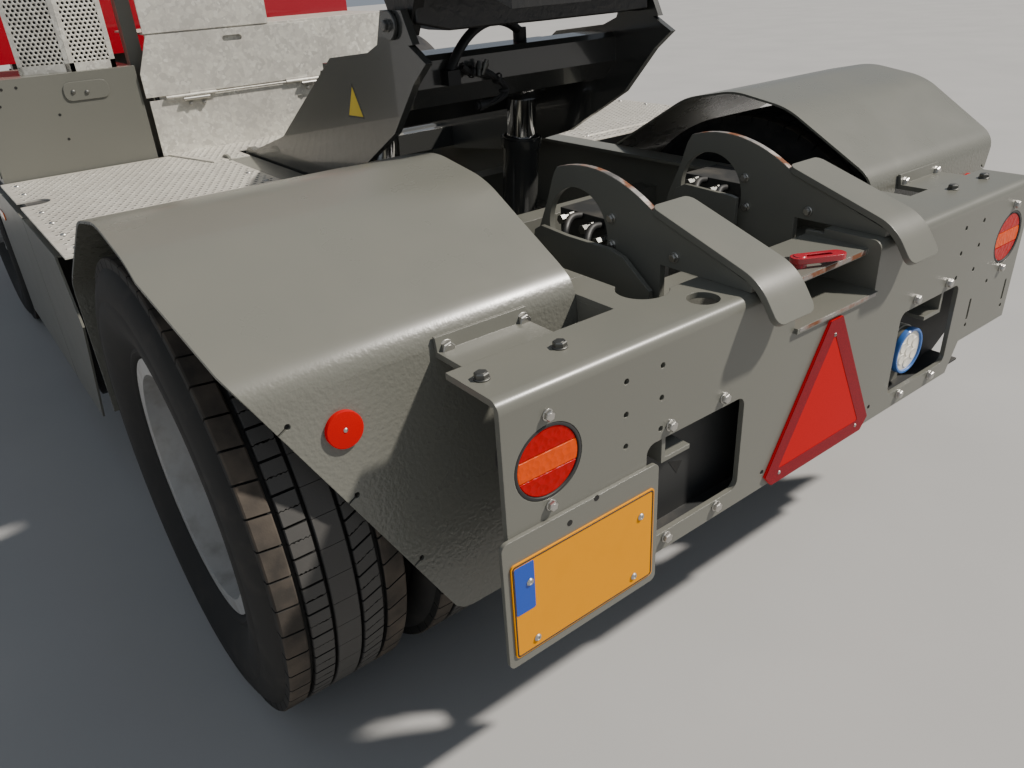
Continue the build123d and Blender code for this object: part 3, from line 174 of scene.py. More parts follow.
def flowing(points, steps=8):
    """Points of a smooth curve through the given ones."""
    ends = [points[0] * 2 - points[1], *points, points[-1] * 2 - points[-2]]
    path = []
    for k in range(len(points) - 1):
        a, b, c, d = ends[k : k + 4]
        for t in (step / steps for step in range(steps)):
            curve = 2 * b + (c - a) * t + (2 * a - 5 * b + 4 * c - d) * t**2 + (3 * b - a - 3 * c + d) * t**3
            path.append(0.5 * curve)
    return path + [points[-1]]


def rounded(width, height, radius, steps=5):
    """Outline of a rectangle with round corners about its middle, as flat pairs."""
    outline = []
    for k, (a, b) in enumerate(((1, 1), (-1, 1), (-1, -1), (1, -1))):
        for step in range(steps + 1):
            angle = (k + step / steps) * pi / 2
            x = a * (width / 2 - radius) + radius * cos(angle)
            y = b * (height / 2 - radius) + radius * sin(angle)
            outline.append((x, y))
    return outline


def badge(mesh, middle, size, radius, outward, depth):
    """A plate with round corners that faces outward, along or across the vehicle."""
    sideways = to_left if abs(outward.x) > abs(outward.y) else to_front
    outline = [middle + (sideways * a + upward * b) * mm for a, b in rounded(*size, radius)]
    prism(mesh, outline, outward * depth * mm)


def eased(corners, reach, steps=6):
    """A path through flat pairs whose inner corners are rounded from a reach before to a reach after."""
    corners = [Vector(corner) for corner in corners]
    path = [corners[0]]
    for before, corner, after in zip(corners, corners[1:], corners[2:]):
        start = corner + (before - corner).normalized() * min(reach, (before - corner).length * 0.45)
        end = corner + (after - corner).normalized() * min(reach, (after - corner).length * 0.45)
        for step in range(steps + 1):
            t = step / steps
            path.append(start * (1 - t) ** 2 + corner * 2 * t * (1 - t) + end * t**2)
    return path + [corners[-1]]


def bent_sheet(mesh, path, thickness, y_range):
    """A bent sheet under a path of (station, height) pairs; y_range gives its low and high y at a point."""
    rings = []
    for k, point in enumerate(path):
        along = (path[min(k + 1, len(path) - 1)] - path[max(k - 1, 0)]).normalized()
        inside = point + Vector((along.y, -along.x)) * thickness
        low, high = y_range(point)
        section = ((point, low), (point, high), (inside, high), (inside, low))
        rings.append([mesh.verts.new(place(p.x, y, p.y)) for p, y in section])
    skin(mesh, rings)


def holed_plate(mesh, outline, centre, radius, spot, depth):
    """A plate with a round hole, from an outline that is seen whole from the hole's centre."""
    finer = []
    for start, end in zip(outline, outline[1:] + outline[:1]):
        finer += [start.lerp(end, step / 6) for step in range(6)]
    hole = [centre + (point - centre).normalized() * radius for point in finer]
    band(mesh, [spot(point) for point in finer], [spot(point) for point in hole], depth)


def bolt(mesh, at, axis, flats=24, washer=True):
    """The hex head of a bolt or nut on its washer, by its width across the flats."""
    corner = flats / 2 / cos(pi / 6)
    low = 0
    if washer:
        low = 3
        reach = flats * 0.64
        turned(mesh, at, axis, ((0, reach), (low - 0.6, reach), (low, reach - 0.8)), 20)
    high = low + flats * 0.42
    turned(mesh, at, axis, ((low, corner), (high - 2, corner), (high, corner * 0.86)), 6)
    turned(mesh, at, axis, ((high - 1, flats * 0.36), (high + 0.4, flats * 0.34)), 12)


def rivet(mesh, at, axis, radius):
    """A domed rivet or button head."""
    rim = [(0.6 * radius * sin(k * pi / 8), radius * cos(k * pi / 8)) for k in range(4)]
    turned(mesh, at, axis, [*rim, (0.6 * radius, 0)], 14)


def pillow(mesh, middle, size, squareness=5, crown=0.0, cuts=13):
    """A stuffed form: a box with rounded sides whose top and bottom are crowned."""
    before = set(mesh.verts)
    made = bmesh.ops.create_cube(mesh, size=2)["verts"]
    edges = list({edge for vertex in made for edge in vertex.link_edges})
    bmesh.ops.subdivide_edges(mesh, edges=edges, cuts=cuts, use_grid_fill=True)
    for vertex in set(mesh.verts) - before:
        x, y, z = vertex.co
        reach = (abs(x) ** squareness + abs(y) ** squareness + abs(z) ** squareness) ** (1 / squareness)
        x, y, z = x / reach, y / reach, z / reach
        z *= 1 + crown * (1 - x * x) * (1 - y * y)
        vertex.co = middle + Vector((x * size[0], y * size[1], z * size[2])) * mm / 2


def perforated(mesh, corner, along, across, pitch, hole):
    """A flat sheet of six-sided cells with a hole in each, from a corner along two edges given as vectors."""
    u, v = along.normalized(), across.normalized()
    length, width = along.length / mm, across.length / mm
    row_pitch = pitch * sqrt(3) / 2
    for row in range(int((width - pitch) / row_pitch) + 1):
        start = pitch * (0.6 + 0.5 * (row % 2))
        for column in range(int((length - start - pitch / 2) / pitch) + 1):
            middle = corner + (u * (start + column * pitch) + v * (pitch * 0.6 + row * row_pitch)) * mm
            outer = circle(mesh, middle, u, v, pitch / sqrt(3), 6, pi / 6)
            inner = circle(mesh, middle, u, v, hole, 6, pi / 6)
            for k in range(6):
                mesh.faces.new((outer[k - 1], outer[k], inner[k], inner[k - 1]))
    bmesh.ops.remove_doubles(mesh, verts=mesh.verts, dist=0.1 * mm)


def piece(name, mesh, look, body="chassis", slot=None, origin=(0, 0, 0), bevel=0.0, crease=34, sheet=0.0):
    """Turn a bmesh into an object that rides on a body, with its looks' materials."""
    bmesh.ops.recalc_face_normals(mesh, faces=mesh.faces)
    for edge in mesh.edges:
        if len(edge.link_faces) == 2:
            edge.smooth = edge.calc_face_angle() < radians(crease)
    for face in mesh.faces:
        face.smooth = True
    data = bpy.data.meshes.new(name)
    mesh.to_mesh(data)
    mesh.free()
    looks = look if isinstance(look, list) else [look]
    for used in looks:
        data.materials.append(used.material)
    made = bpy.data.objects.new(name, data)
    made.location = origin
    bpy.context.scene.collection.objects.link(made)
    if sheet:
        solid = made.modifiers.new("sheet", "SOLIDIFY")
        solid.thickness = sheet * mm
        solid.offset = 0
    if bevel:
        rounding = made.modifiers.new("edges", "BEVEL")
        rounding.width = bevel * mm
        rounding.segments = 2
        rounding.limit_method = "ANGLE"
        rounding.angle_limit = radians(40)
        rounding.harden_normals = True
    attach(made, body)
    slot = looks[0].slot if slot is None else slot
    return made


# Looks

dust = (0.20, 0.175, 0.14)
bare_steel = (0.42, 0.40, 0.37)
rust = (0.16, 0.055, 0.02)


class Look:
    """One material: a Principled shader, the nodes that feed it, and the CAD slot that it stands for."""

    sockets = {"colour": "Base Color", "roughness": "Roughness", "metallic": "Metallic"}

    def __init__(self, name, colour, roughness, metallic=0.0, **more):
        self.material = bpy.data.materials.new(f"{name}_look")
        self.material.use_nodes = True
        self.tree = self.material.node_tree
        self.shader = self.tree.nodes["Principled BSDF"]
        self.slot = None
        self.value = {}
        self.set("colour", (*colour, 1.0))
        self.set("roughness", roughness)
        self.set("metallic", metallic)
        for socket, amount in more.items():
            self.shader.inputs[socket.replace("_", " ").title().replace("Ior", "IOR")].default_value = amount
        where = self.node("ShaderNodeTexCoord")
        self.point = where.outputs["Object"]
        self.facing = self.node("ShaderNodeSeparateXYZ", {0: where.outputs["Normal"]}).outputs[2]
        self.normal = None

    def node(self, kind, inputs=None, **settings):
        """Add a node, with links or values for its inputs."""
        made = self.tree.nodes.new(kind)
        for setting, choice in settings.items():
            setattr(made, setting, choice)
        for key, amount in (inputs or {}).items():
            self.feed(made.inputs[key], amount)
        return made

    def feed(self, socket, amount):
        """Link an output to a socket, or set the socket's value."""
        if isinstance(amount, bpy.types.NodeSocket):
            self.tree.links.new(amount, socket)
        else:
            socket.default_value = amount

    def set(self, part, amount):
        self.value[part] = amount
        self.feed(self.shader.inputs[self.sockets[part]], amount)

    def mix(self, mask, **targets):
        """Go towards a colour, roughness or metallic value where the mask is 1."""
        for part, target in targets.items():
            if part == "colour":
                inputs = {0: mask, 6: self.value[part], 7: (*target, 1.0)}
                self.set(part, self.node("ShaderNodeMix", inputs, data_type="RGBA").outputs[2])
            else:
                inputs = {0: mask, 2: self.value[part], 3: target}
                self.set(part, self.node("ShaderNodeMix", inputs, data_type="FLOAT").outputs[0])

    def ramp(self, amount, low, high):
        """A mask, 0 where the amount is low and 1 where it is high."""
        return self.node("ShaderNodeMapRange", {0: amount, 1: low, 2: high, 3: 0.0, 4: 1.0}).outputs[0]

    def times(self, *amounts):
        """The product of masks and numbers."""
        result = amounts[0]
        for amount in amounts[1:]:
            result = self.node("ShaderNodeMath", {0: result, 1: amount}, operation="MULTIPLY").outputs[0]
        return result

    def stretched(self, scale):
        """The point, scaled along each axis if a scale is given."""
        return self.node("ShaderNodeMapping", {0: self.point, 3: scale}).outputs[0] if scale else self.point

    def noise(self, scale, low, high, detail=3.0):
        """A cloudy mask, 0 under low and 1 over high."""
        grain = self.node("ShaderNodeTexNoise", {"Vector": self.point, "Scale": scale, "Detail": detail})
        return self.ramp(grain.outputs[0], low, high)

    def cells(self, scale, output="Distance", stretch=None, **settings):
        """An output of a Voronoi texture."""
        inputs = {"Vector": self.stretched(stretch), "Scale": scale}
        return self.node("ShaderNodeTexVoronoi", inputs, **settings).outputs[output]

    def level(self, low, high):
        """A mask that grows with how far a face looks up."""
        return self.ramp(self.facing, low, high)

    def from_axle(self, low, high):
        """A mask that grows with the distance from the wheel's axle, in metres."""
        flat = self.node("ShaderNodeVectorMath", {0: self.point, 1: (1, 0, 1)}, operation="MULTIPLY").outputs[0]
        reach = self.node("ShaderNodeVectorMath", {0: flat}, operation="LENGTH").outputs["Value"]
        return self.ramp(reach, low, high)

    def round_edges(self, radius):
        """Soften the edges' shading, by a radius in millimetres."""
        self.normal = self.node("ShaderNodeBevel", {"Radius": radius * mm}, samples=4).outputs[0]
        self.tree.links.new(self.normal, self.shader.inputs["Normal"])

    def edges(self):
        """A mask of the sharp edges, once they are rounded."""
        true = self.node("ShaderNodeNewGeometry").outputs["Normal"]
        product = self.node("ShaderNodeVectorMath", {0: self.normal, 1: true}, operation="DOT_PRODUCT")
        return self.ramp(product.outputs["Value"], 0.985, 0.9)

    def bump(self, relief, depth):
        """Raise the surface by a mask, to a depth in millimetres."""
        inputs = {"Height": relief, "Distance": depth * mm, "Strength": 1.0}
        if self.normal:
            inputs["Normal"] = self.normal
        self.normal = self.node("ShaderNodeBump", inputs).outputs[0]
        self.tree.links.new(self.normal, self.shader.inputs["Normal"])


def painted(name, colour, roughness, dusty=0.5, worn=0.5, peel=(260, 0.03), coat=0.0, walls_only=False):
    """Sprayed paint with soft edges, dust on its flats, chips on its edges and orange peel, which may be
    kept to the walls alone."""
    look = Look(name, colour, roughness, coat_weight=coat)
    look.round_edges(1.6)
    look.mix(look.noise(1.3, 0.3, 0.75), colour=[c * 1.07 for c in colour])
    look.mix(look.times(look.noise(9, 0.45, 0.75, 4), 0.3), roughness=min(1.0, roughness * 1.35))
    settled = look.times(look.level(0.3, 0.95), look.noise(7, 0.38, 0.72, 5), dusty)
    look.mix(settled, colour=dust, roughness=0.85)
    look.mix(look.times(look.noise(900, 0.66, 0.72, 1), look.level(0.1, 0.6), dusty), colour=dust, roughness=0.9)
    look.mix(look.times(look.edges(), look.noise(45, 0.5, 0.62), worn), colour=bare_steel, roughness=0.45)
    relief = look.noise(peel[0], 0.3, 0.7, 1.5)
    if walls_only:
        relief = look.times(relief, look.ramp(look.facing, 0.75, 0.3))
    look.bump(relief, peel[1])
    return look


def metal(name, colour, roughness, relief=(60, 0.02), radius=1.0):
    """Bare metal with clouded polish."""
    look = Look(name, colour, roughness, 1.0)
    look.round_edges(radius)
    look.mix(look.noise(9, 0.35, 0.7, 5), roughness=min(1.0, roughness * 1.6), colour=[c * 0.86 for c in colour])
    look.bump(look.noise(relief[0], 0.3, 0.7), relief[1])
    return look


def plastic(name, colour, roughness, grain=(700, 0.03), **more):
    """Moulded plastic or rubber with a fine grain and a little dust."""
    look = Look(name, colour, roughness, **more)
    look.round_edges(1.2)
    look.mix(look.noise(5, 0.4, 0.75), roughness=min(1.0, roughness * 1.25))
    look.mix(look.times(look.level(0.4, 1.0), look.noise(11, 0.45, 0.8, 5), 0.3), colour=dust)
    look.bump(look.noise(grain[0], 0.35, 0.65, 1.0), grain[1])
    return look


chassis_grey = (0.132, 0.132, 0.113)
paint = painted("chassis_paint", chassis_grey, 0.30, dusty=0.10, worn=0.35)
# Boom paint, far darker than the chassis grey: partly painted shade, standing for the deep shade inside the boom.
boom_paint = painted("boom_paint", (0.046, 0.047, 0.045), 0.22, dusty=0.05, worn=0.25, coat=0.5)
red_paint = painted("red_paint", (0.34, 0.003, 0.014), 0.25, dusty=0.06, worn=0.15, coat=0.5)
engine_paint = painted("engine_paint", (0.10, 0.105, 0.11), 0.5, dusty=0.9, peel=(90, 0.3))
guard_paint = painted("mudguard_paint", chassis_grey, 0.27, 0.08, 0.2, peel=(125, 0.5), walls_only=True)

zinc = Look("galvanised", (0.52, 0.50, 0.45), 0.46, 0.3)
zinc.round_edges(1.0)
zinc.mix(zinc.ramp(zinc.cells(46, "Color"), 0.15, 0.95), colour=(0.72, 0.70, 0.62), roughness=0.36)
zinc.mix(zinc.ramp(zinc.cells(95, "Color"), 0.55, 0.95), colour=(0.84, 0.82, 0.74), roughness=0.3)
zinc.mix(zinc.times(zinc.noise(5, 0.45, 0.75, 6), 0.6), colour=(0.40, 0.385, 0.35), roughness=0.6)
zinc.mix(zinc.times(zinc.level(0.5, 1), zinc.noise(13, 0.5, 0.8, 6), 0.35), colour=(0.36, 0.32, 0.26), metallic=0.1)
zinc.mix(zinc.times(zinc.level(0.8, 1), 0.5), colour=(0.38, 0.35, 0.30), roughness=0.6)
zinc.bump(zinc.noise(70, 0.3, 0.7), 0.06)

rim = painted("rim_silver", (0.52, 0.52, 0.51), 0.34, dusty=0.2, worn=0.1, peel=(300, 0.02))
rim.set("metallic", 0.55)
rim.mix(rim.times(rim.noise(14, 0.48, 0.75, 6), 0.55), colour=(0.19, 0.16, 0.13), roughness=0.8)

hose_look = plastic("hose_rubber", (0.012, 0.012, 0.012), 0.5, grain=(420, 0.08))
black = plastic("dark_plastic", (0.018, 0.018, 0.019), 0.52)

# Emission for the lamp lenses; the red reflectors below take lit_red too, and there the glow is painted light.
lit_red = {"emission_color": (0.60, 0.0, 0.001, 1), "emission_strength": 0.25, "specular_ior_level": 0.12}
lit_amber = {"emission_color": (0.80, 0.07, 0.0, 1), "emission_strength": 0.3, "specular_ior_level": 0.12}
red_lens = plastic("lamp_red", (0.26, 0.0, 0.001), 0.2, **lit_red)
red_lens.bump(red_lens.cells(85), 1.2)
amber_lens = plastic("amber_lens", (0.46, 0.045, 0.0), 0.2, **lit_amber)
amber_lens.bump(amber_lens.cells(85), 1.2)
beacon_lens = plastic("beacon_amber", (0.75, 0.15, 0.0), 0.12, transmission_weight=0.4, coat_weight=1.0)
beacon_lens.bump(beacon_lens.cells(60, stretch=(1, 1, 0.02)), 1.2)

# Reflector red glows with lit_red's emission: painted light, as a reflector is no lamp.
sign_red = Look("reflector_red", (0.36, 0.0, 0.002), 0.5, **lit_red)
sign_red_seams = sign_red.cells(330, feature="DISTANCE_TO_EDGE")
sign_red.mix(sign_red.ramp(sign_red_seams, 0.1, 0.0), colour=(0.30, 0.0, 0.002))
sign_red.bump(sign_red.cells(330), 0.05)
border_red = Look("reflector_border", (0.24, 0.0, 0.008), 0.4, specular_ior_level=0.15)
border_red.mix(border_red.ramp(border_red.cells(260), 0.2, 0.6), colour=(0.18, 0.0, 0.006))
border_red.bump(border_red.cells(260), 0.08)

yellow = Look("plate_yellow", (0.72, 0.28, 0.0), 0.6, specular_ior_level=0.08)
yellow.round_edges(0.8)
yellow.mix(yellow.times(yellow.noise(22, 0.5, 0.8, 6), 0.15), colour=(0.58, 0.22, 0.0), roughness=0.7)
yellow.bump(yellow.noise(400, 0.4, 0.6), 0.02)

glass = Look("glass", (0.80, 0.88, 0.85), 0.02, transmission_weight=1.0)
glass.mix(glass.noise(3, 0.5, 0.85, 6), roughness=0.12)
clear_lens = Look("clear_lens", (0.95, 0.97, 0.98), 0.03, transmission_weight=1.0)
clear_lens.bump(clear_lens.cells(40, stretch=(1, 1, 0.1)), 0.2)

rubber = Look("tyre_rubber", (0.016, 0.016, 0.0155), 0.72, specular_ior_level=0.3)
rubber.round_edges(0.8)
rubber.mix(rubber.noise(6, 0.4, 0.75, 6), colour=(0.027, 0.026, 0.024), roughness=0.85)
near_tread = rubber.times(rubber.noise(24, 0.5, 0.8, 6), rubber.from_axle(0.30, 0.40), 0.4)
rubber.mix(near_tread, colour=(0.060, 0.053, 0.046))
rubber.bump(rubber.noise(350, 0.3, 0.7, 1.5), 0.06)
tread_rubber = Look("tread_rubber", (0.018, 0.018, 0.018), 0.66, specular_ior_level=0.4)
tread_rubber.round_edges(1.0)
tread_rubber.mix(tread_rubber.noise(30, 0.42, 0.75, 6), colour=(0.045, 0.041, 0.038), roughness=0.8)
tread_rubber.mix(tread_rubber.times(tread_rubber.from_axle(0.5135, 0.5145), 0.7), colour=(0.072, 0.069, 0.064))
tread_rubber.bump(tread_rubber.noise(300, 0.3, 0.7, 2), 0.1)
shoulder_rubber = Look("shoulder_rubber", (0.036, 0.031, 0.026), 0.85, specular_ior_level=0.3)
shoulder_rubber.round_edges(1.0)
shoulder_rubber.mix(shoulder_rubber.noise(16, 0.38, 0.68, 6), colour=(0.082, 0.067, 0.053), roughness=0.92)
shoulder_rubber.bump(shoulder_rubber.noise(260, 0.3, 0.7, 2), 0.12)

worn_steel = metal("worn_steel", (0.40, 0.38, 0.36), 0.42, relief=(120, 0.06))
worn_steel.mix(worn_steel.noise(18, 0.45, 0.6, 6), colour=rust, metallic=0.1, roughness=0.85)
# Painted shade: near-black discs and strips that stand for holes, slots and open mouths.
painted_hole_shade = Look("hole_painted_shade", (0.008, 0.008, 0.008), 0.9)
painted_hole_shade.mix(painted_hole_shade.noise(90, 0.4, 0.7), colour=(0.016, 0.015, 0.013))

cloth = Look("seat_fabric", (0.030, 0.031, 0.035), 0.9, sheen_weight=0.35)
weave = cloth.node("ShaderNodeTexWave", {"Vector": cloth.point, "Scale": 260.0, "Distortion": 0.6}).outputs[1]
cloth.mix(cloth.ramp(weave, 0.2, 0.9), colour=(0.055, 0.056, 0.062))
cloth.mix(cloth.noise(5, 0.45, 0.8), colour=(0.045, 0.043, 0.042))
cloth.bump(weave, 0.25)

greased = Look("fifth_wheel", (0.025, 0.025, 0.025), 0.35, 0.2)
greased.round_edges(2)
polished = greased.times(greased.level(0.7, 1), greased.noise(6, 0.35, 0.6, 5))
greased.mix(polished, colour=(0.30, 0.28, 0.25), metallic=0.9)
smeared = greased.times(greased.level(0.2, 0.9), greased.noise(15, 0.52, 0.62, 5))
greased.mix(smeared, colour=(0.05, 0.045, 0.038), roughness=0.12)
greased.bump(greased.noise(40, 0.45, 0.7, 5), 0.8)

bolt_zinc = metal("bolt_zinc", (0.50, 0.49, 0.46), 0.32, relief=(160, 0.05), radius=0.6)
bolt_dark = metal("bolt_dark", (0.16, 0.16, 0.15), 0.4, relief=(160, 0.05), radius=0.6)
mirror_glass = metal("mirror_glass", (0.80, 0.82, 0.84), 0.03, relief=(4, 0.02))
lamp_silver = metal("lamp_silver", (0.80, 0.82, 0.85), 0.16, relief=(200, 0.2))
lamp_cream = plastic("lamp_cream", (0.80, 0.76, 0.66), 0.25, coat_weight=0.5)
blue_ring = plastic("blue_ring", (0.03, 0.13, 0.42), 0.34, coat_weight=0.3)
blue_strip = plastic("blue_strip", (0.006, 0.06, 0.40), 0.34)
marker_orange = plastic("marker_orange", (0.85, 0.17, 0.01), 0.22, coat_weight=1.0)
label_yellow = plastic("label_yellow", (0.80, 0.56, 0.01), 0.4)
label_black = plastic("label_black", (0.012, 0.012, 0.012), 0.4)
# Near-black: the valve blocks' own dark colour, and painted shade on the window plates and on the sheet behind the
# exhaust guard.
near_black_and_shade = plastic("near_black_and_painted_shade", (0.020, 0.021, 0.021), 0.55)
screen_blue = plastic("screen", (0.01, 0.02, 0.03), 0.08, coat_weight=1.0)
piping_red = plastic("seat_piping", (0.30, 0.015, 0.012), 0.6)

slot_looks = {
    "chassis_paint": paint,
    "boom_paint": boom_paint,
    "red_paint": red_paint,
    "tank_paint": painted("tank_paint", (0.040, 0.040, 0.042), 0.42, dusty=0.6),
    "engine_paint": engine_paint,
    "galvanised": zinc,
    "rim_silver": rim,
    "rod_chrome": metal("rod_chrome", (0.86, 0.86, 0.87), 0.07, relief=(30, 0.004)),
    "exhaust_steel": metal("exhaust_steel", (0.36, 0.30, 0.25), 0.38, relief=(50, 0.1)),
    "hose_rubber": hose_look,
    "dark_plastic": black,
    "seat_cloth": plastic("seat_shell", (0.03, 0.03, 0.032), 0.6),
    "lamp_red": red_lens,
    "beacon_amber": beacon_lens,
    "headlamp_lens": plastic("headlamp_lens", (0.75, 0.77, 0.78), 0.1, transmission_weight=0.7),
    "reflector_red": sign_red,
    "plate_yellow": yellow,
    "glass": glass,
    "tyre": rubber,
}
for slot_name, slot_look in slot_looks.items():
    slot_look.slot = slot_name
own_looks = {"mudguard_left": guard_paint, "mudguard_right": guard_paint, "fifth_wheel": greased}
for node_name, node_object in frame["nodes"].items():
    for k, old in enumerate(node_object.data.materials):
        node_look = own_looks.get(node_name) or slot_looks[old.name.split(".")[0]]
        node_object.data.materials[k] = node_look.material

# Wheels: tyres with their tread, wheel nuts and hub caps

axle_z = 515
tread_top, tread_floor = 515, 501
block_top_low, block_shoulder, block_foot = 510, 512.5, 488
pitches = 54
pitch = 2 * pi / pitches
sidewall = (
    (104, 289), (109, 301), (117, 306), (121, 314), (119, 322), (128, 336), (139, 360), (146, 384),
    (148.5, 404), (148.5, 424), (146.5, 428), (146.5, 433), (148, 437), (144, 458), (138, 476), (130, 490),
    (118, tread_floor),
)  # fmt: skip
carcass = [(-y, r) for y, r in sidewall] + [(y, r) for y, r in reversed(sidewall)]
shoulder_edge = 125
sipe_half, sipe_wave = 0.014 * pitch, 0.0022
# Each row of blocks: y range, share of a pitch that is rubber, slant, start, and what kind it is
tread_rows = (
    (-shoulder_edge, -82, 0.93, -0.0009, 0.0, "shoulder"),
    (-73, -31, 0.92, -0.0008, 0.45, "siped"),
    (-25, 25, 0.985, 0.0, 0.1, "rib"),
    (31, 73, 0.92, 0.0, 0.2, "siped"),
    (82, shoulder_edge, 0.93, 0.0002, 0.65, "shoulder"),
)
tyre_looks = [rubber, tread_rubber, shoulder_rubber]


def tread_block(mesh, middle_y, section, start, end, slant, shade, wavy=(False, False)):
    """One tread block: its section across the tread, carried round the axle between two angles."""
    rings = []
    for angle, waved in ((start, wavy[0]), ((start + end) / 2, False), (end, wavy[1])):
        ring = []
        for k, (y, r) in enumerate(section):
            turn = angle + slant * y + (sipe_wave * (-1) ** k if waved else 0)
            ring.append(mesh.verts.new(Vector((sin(turn) * r, y + middle_y, cos(turn) * r)) * mm))
        rings.append(ring)
    mesh.faces.new(rings[0])
    mesh.faces.new(rings[-1])
    for ring, following in zip(rings, rings[1:]):
        for k in range(len(section)):
            made = mesh.faces.new((ring[k - 1], ring[k], following[k], following[k - 1]))
            if min(section[k - 1][1], section[k][1]) > block_top_low:
                made.material_index = shade


def tyre(mesh, middle_y):
    """A tyre about the axle, its middle at a y from the piece's own origin."""
    turned(mesh, Vector((0, middle_y * mm, 0)), to_left, carcass, sides=108, hollow=True)
    for low, high, share, slant, shift, kind in tread_rows:
        inset = 3 if kind == "shoulder" else 2
        top = [(low + inset + (high - low - 2 * inset) * k / 9, tread_top) for k in range(10)]
        if kind != "siped":
            top = [top[0], top[-1]]
        section = [(low, block_foot), (low, block_shoulder), *top, (high, block_shoulder), (high, block_foot)]
        for number in range(pitches):
            start = (number + shift) * pitch
            end = start + share * pitch
            middle = (start + end) / 2
            if kind == "siped":
                tread_block(mesh, middle_y, section, start, middle - sipe_half, slant, 1, (False, True))
                tread_block(mesh, middle_y, section, middle + sipe_half, end, slant, 1, (True, False))
            else:
                tread_block(mesh, middle_y, section, start, end, slant, 2 if kind == "shoulder" else 1)


def around(count, radius, outward, start=0.0):
    """Offsets of points on a circle about a wheel's axle, at a distance outward."""
    angles = [2 * pi * (k + start) / count for k in range(count)]
    return [Vector((sin(a) * radius, outward, cos(a) * radius)) * mm for a in angles]


def wheel(name, side, hand, body, node, middles, nut_face, hub_end, hub_radius):
    """Treaded tyres about a wheel's axle, with its nuts, hub bolts and valve."""
    low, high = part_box(node)
    axle = Vector(((low.x + high.x) / 2, 0, low.z + axle_z * mm))
    outward = to_left * hand
    treaded = bmesh.new()
    for middle_y in middles:
        tyre(treaded, hand * middle_y)
    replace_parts(piece(f"{node}_treaded", treaded, tyre_looks, body, "tyre", origin=axle), node)
    nuts = bmesh.new()
    for offset in around(10, 167.5, hand * nut_face, 0.5):
        turned(nuts, axle + offset, outward, ((0, 21), (3.5, 21), (5, 18.5)), 20)
        turned(nuts, axle + offset, outward, ((4, 18.4), (23, 18.4), (26, 15.5)), 6)
        turned(nuts, axle + offset, outward, ((20, 10.5), (33, 10.5), (35, 8.5)), 14)
    for offset in around(8, hub_radius - 17, hand * (hub_end - 1)):
        bolt(nuts, axle + offset, outward, 15, washer=False)
    piece(f"{name}_wheel_nuts_{side}", nuts, bolt_zinc, body)
    stem = [axle + Vector((x, hand * (nut_face + out), 0)) * mm for x, out in ((216, 12), (222, 34), (230, 52))]
    valve = bmesh.new()
    tube(valve, flowing(stem, 4), 5, 10)
    tube(valve, [stem[2], stem[2] + Vector((4, hand * 12, 0)) * mm], 6.5, 10)
    piece(f"{name}_valve_{side}", valve, black, body, slot="")


for side, hand in hands:
    # Tyre middles, face that the nuts sit on, end of the hub, its radius
    rear, front = ((768, 1100), 946, 1084, 80), ((1085,), 1175, 1250, 90)
    wheel("rear", side, hand, f"rear_wheels_{side}", f"rear_tyres_{side}", *rear)
    wheel("front", side, hand, f"front_wheel_{side}", f"front_tyre_{side}", *front)

# Bolts, nuts and rivets on the beam, the ramps and the brackets

rear_lamp_y, rear_lamp_height = 802, -144
bracket_station, bracket_height = 242.5, -10
web_y = extent("ramps")[1][1] - 6
ramp_shift = 466

dark_bolts = bmesh.new()
for station, y in ((86, 700), (84, 864), (98, -647), (93, -802)):
    bolt(dark_bolts, place(station, y, 0), upward, 22)
piece("beam_top_bolts", dark_bolts, bolt_dark)
bolts = bmesh.new()
for y in (360, 512, -352, -505):
    for height in (-192, -452):
        bolt(bolts, place(0, y, height), to_rear, 19)
for y in (rear_lamp_y, -rear_lamp_y):
    for height in (rear_lamp_height + 90, rear_lamp_height - 85):
        bolt(bolts, place(0, y, height), to_rear, 17)
for y in (659, 829, -672, -838):
    bolt(bolts, place(bracket_station, y, bracket_height), to_rear, 24)
for y, spots in (
    (web_y, ((205, 26), (390, 72), (388, 13))),
    (web_y - ramp_shift, ((209, 22), (386, 0), (396, 72))),
):
    for station, height in spots:
        bolt(bolts, place(station, y, height), to_left, 17)
for _, hand in hands:
    for station in (345, 405, 1015, 1065, 1735, 1795, 2435, 2495, 4895, 4955):
        for height in (-240, -160):
            bolt(bolts, place(station, hand * 520, height), to_left * hand, 19)
    for station in (1400, 1560, 1720, 1880, 2200, 2360):
        rivet(bolts, place(station, hand * 560, 0), upward, 9)
        rivet(bolts, place(station, hand * 1200, 0), upward, 9)
piece("chassis_bolts", bolts, bolt_zinc)

# Guide ramps: bent bars with round ends on thin webs, each web with a round hole and a rusty top edge

ramp_right, ramp_left = 174, 292
ramp_corner = 20
bar_sheet, web_sheet = 15, 16
web_hole, web_hole_radius = Vector((505, 20)), 100
arc = [Vector((258 + t * 316, 102 + 55 * t + 150 * t * (1 - t))) for t in (k / 12 for k in range(13))]
foot = ((588, 136), (612, 72), (652, -14), (664, -112), (245, -112), (245, 0), (13, 0), (13, 16))
foot = [Vector(pair) for pair in foot]
bar_bends = eased(((272, 122), (-8, 30), (-60, -46)), 42, 8)
bar_start = [bar_bends[0].lerp(bar_bends[1], t) for t in (0.0, 0.01, 0.03, 0.06, 0.1)]
bar_tip = [bar_bends[-1].lerp(bar_bends[-2], t) for t in (0.6, 0.36, 0.2, 0.08, 0.0)]
bar_path = bar_start + bar_bends[1:-1] + bar_tip


def bar_width(point, shift):
    """The bar's y range at a point, narrower within a corner's radius of its ends."""
    past = max(0, ramp_corner - min((point - bar_path[0]).length, (point - bar_path[-1]).length))
    inset = ramp_corner - sqrt(ramp_corner**2 - past**2)
    return ramp_right + inset - shift, ramp_left - inset - shift


